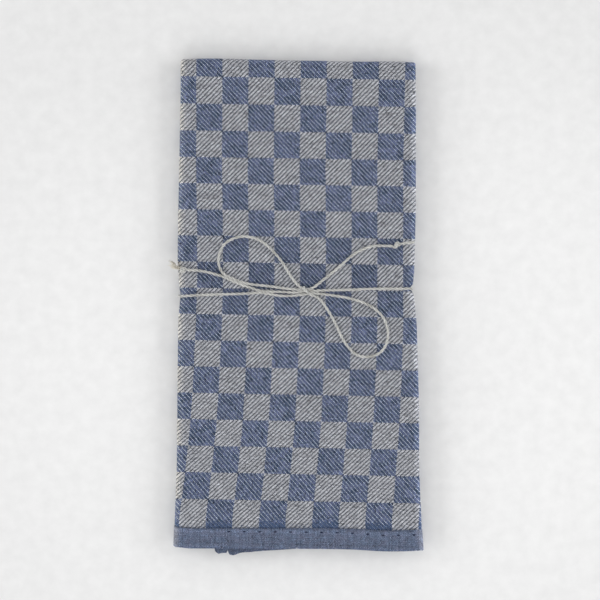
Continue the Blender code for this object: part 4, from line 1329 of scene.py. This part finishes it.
nicks = add(tree, "ShaderNodeMath", {0: nicks, 1: at_fold}, operation="MULTIPLY")
cloth_colour = twill
for amount, over, way in (
    (in_hem, plain, COLOURS), (lit_and_rubbed_hem, "#8c8e98", COLOURS), (1.0, lit_and_rubbed_tint, TIMES),
    (fold_painted_shade, "#3d4d72", COLOURS), (nicks, "#b9bdc6", COLOURS),
):
    cloth_colour = add(tree, "ShaderNodeMix", {"Factor": amount, "A": cloth_colour, "B": over}, **way)
print("nodes so far:", len(tree.nodes))

# %% Light and dark places
CALMER, CALM_LIFT = 0.78, 0.235  # the hem's brightness varies less
LIP, LIP_LIGHT = 4.0 * MM, 1.17  # below the seam the hem is a little paler
FRAYED_CHANGE, LIT_AND_RUBBED_CHANGE, BESIDE_TWINE_CHANGE = -0.25, 0.56, -0.14

calm = add(tree, "ShaderNodeMath", {0: brightness, 1: CALMER, 2: CALM_LIFT}, operation="MULTIPLY_ADD")
lip = add(tree, "ShaderNodeMapRange", {
    "Value": parts["Z"], "From Min": HEM_WIDTH - LIP, "From Max": HEM_WIDTH - LIP / 2,
    "To Min": 1.0, "To Max": LIP_LIGHT,
})
calm = add(tree, "ShaderNodeMath", {0: calm, 1: lip}, operation="MULTIPLY")
brightness = add(tree, "ShaderNodeMix", {"Factor": in_hem, "A": brightness, "B": calm}, data_type="FLOAT")
# the blue squares are made darker beside the twine, on its far side
blue_beside_twine = add(tree, "ShaderNodeMath", {0: beside_twine, 1: blue_square}, operation="MULTIPLY")
# partly wear, partly painted highlight: the folded sides are made lighter
for where, change in ((frayed, FRAYED_CHANGE), (rubbed_and_lit, LIT_AND_RUBBED_CHANGE), (blue_beside_twine, BESIDE_TWINE_CHANGE)):
    light = add(tree, "ShaderNodeMath", {0: where, 1: change, 2: 1.0}, operation="MULTIPLY_ADD")
    brightness = add(tree, "ShaderNodeMath", {0: brightness, 1: light}, operation="MULTIPLY")
print("nodes so far:", len(tree.nodes))

# %% Bring colour and relief together
finished = add(tree, "ShaderNodeMix", {"Factor": 1.0, "A": cloth_colour, "B": brightness}, **TIMES)
woven = add(tree, "ShaderNodeBump", {"Height": ridge, "Strength": 0.5, "Distance": 0.12 * MM})
end_material(linen, {"Base Color": finished, "Normal": woven, "Roughness": 0.9, "Specular IOR Level": 0.2})

# %% Dress the towel
cloth = add_piece("towel_cloth", cloth_mesh, linen)
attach(cloth, "root")
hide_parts("towel")

# %% [markdown]
# ## Hem stitches and torn threads
#
# The hem is sewn by hand from behind: only a short dark stitch shows every 10.8 mm, just below
# the seam. At its torn corner the hem of the inner flap ends in loose blue threads. Each is one
# small shape repeated along a line of the sheet, so Geometry Nodes set both. The threads use the
# fibre tree once more.

# %% A tree for stitches
STITCHES = 13
STITCHED_FROM, STITCHED_TO = -48.3 * MM, 81.2 * MM
STITCH_LENGTH = 1.8 * MM
SEWING_THREAD = 0.42 * MM  # its radius
STITCH_SUNK, STITCH_PROUD = -1.0, 2.5  # of that radius: heights of a stitch's ends and of its control point
STITCH_SIDES, STITCH_STEPS = 6, 6

tree, given = new_tree("stitches along a line", {
    "Count": "NodeSocketInt", "Length": "NodeSocketFloat", "Radius": "NodeSocketFloat",
    "Material": "NodeSocketMaterial",
})
path = add(tree, "GeometryNodeMeshToCurve", {"Mesh": given["Geometry"]})
points = add(tree, "GeometryNodeCurveToPoints", {"Curve": path, "Count": given["Count"]}, mode="COUNT")
half_way, half_back = [
    add(tree, "ShaderNodeMath", {0: given["Length"], 1: part}, operation="MULTIPLY") for part in (0.5, -0.5)
]
sunk, proud = [
    add(tree, "ShaderNodeMath", {0: given["Radius"], 1: part}, operation="MULTIPLY")
    for part in (STITCH_SUNK, STITCH_PROUD)
]
stitch = add(tree, "GeometryNodeCurveQuadraticBezier", {
    "Resolution": STITCH_STEPS,
    "Start": add(tree, "ShaderNodeCombineXYZ", {"X": half_back, "Z": sunk}),
    "Middle": add(tree, "ShaderNodeCombineXYZ", {"Z": proud}),
    "End": add(tree, "ShaderNodeCombineXYZ", {"X": half_way, "Z": sunk}),
})
section = add(tree, "GeometryNodeCurvePrimitiveCircle", {
    "Resolution": STITCH_SIDES, "Radius": given["Radius"],
}, mode="RADIUS")
stitch = add(tree, "GeometryNodeCurveToMesh", {"Curve": stitch, "Profile Curve": section, "Fill Caps": True})
facing = add(tree, "FunctionNodeAlignRotationToVector", {
    "Vector": points.outputs["Tangent"],
}, axis="X", pivot_axis="Z")
stitches = add(tree, "GeometryNodeInstanceOnPoints", {
    "Points": points, "Instance": stitch, "Rotation": facing,
})
stitch_tree = end_tree(tree, stitches, given["Material"])
print("one stitch in %.1f mm" % ((STITCHED_TO - STITCHED_FROM) / (STITCHES - 1) / MM))

# %% Sewing thread finish
THREAD_TWIST = 0.6 * MM

blue_thread, tree = new_material("navy_cotton_thread")
# Spun cotton, dyed navy: matt, its fine twist shows only as a faint change of tone
place = add(tree, "ShaderNodeTexCoord").outputs["Object"]
uneven = add(tree, "ShaderNodeTexNoise", {"Vector": place, "Scale": 1 / THREAD_TWIST, "Detail": 2.0})
tone = add(tree, "ShaderNodeMix", {"Factor": uneven, "A": "#10142a", "B": "#232b46"}, **COLOURS)
end_material(blue_thread, {"Base Color": tone, "Roughness": 0.9, "Specular IOR Level": 0.2})

# %% Sew the hem
SEAM_BELOW = (1.8 * MM, 3.4 * MM)  # from the seam down to the stitches, left and right
SEAM_POINTS = 88

flap_step = (HEM_WIDTH - HEM_BEND - HEM_PLY / 2) / (HEM_ROWS - 1)
rows_below = np.interp(share[panel_columns], (0.0, 1.0), SEAM_BELOW) / flap_step
row_below = rows_below.astype(int)
part_below = (rows_below - row_below)[:, None]
panel_surface = sheet_surface[:, panel_columns]
column = np.arange(len(row_below))
above, below = panel_surface[row_below, column], panel_surface[row_below + 1, column]
seam_line = ((1 - part_below) * above + part_below * below)[::-1] + (0.0, 0.0, HEM_PLY / 2)
seam_x = np.linspace(STITCHED_FROM, STITCHED_TO, SEAM_POINTS)
seam_y, seam_z = [np.interp(seam_x, seam_line[:, 0], seam_line[:, k]) for k in (1, 2)]
carrier = line_mesh("seam_line", np.stack([seam_x, seam_y, seam_z], 1))
stitch_mesh = grow("hem_stitches", carrier, stitch_tree, {
    "Count": STITCHES, "Length": STITCH_LENGTH, "Radius": SEWING_THREAD, "Material": blue_thread,
})
stitches = add_piece("hem_stitches", stitch_mesh, blue_thread)

# %% Set the torn threads
TORN_COLUMNS = slice(0, 56)  # of the inner flap, from its torn corner
AT_FOLD = 0.1  # the first row with less offset than this lies at the hem's fold

fold_row = next(i for i, row in enumerate(rows) if row[1] == "hem" and row[3] < AT_FOLD)
torn_line = line_mesh("torn_line", sheet_surface[fold_row, TORN_COLUMNS])
torn = grow_fibres("torn_threads", torn_line, blue_thread, 0.08, -0.2, 0.6, 0.07, 1.0, 21)
for piece in (stitches, torn):
    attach(piece, "root")
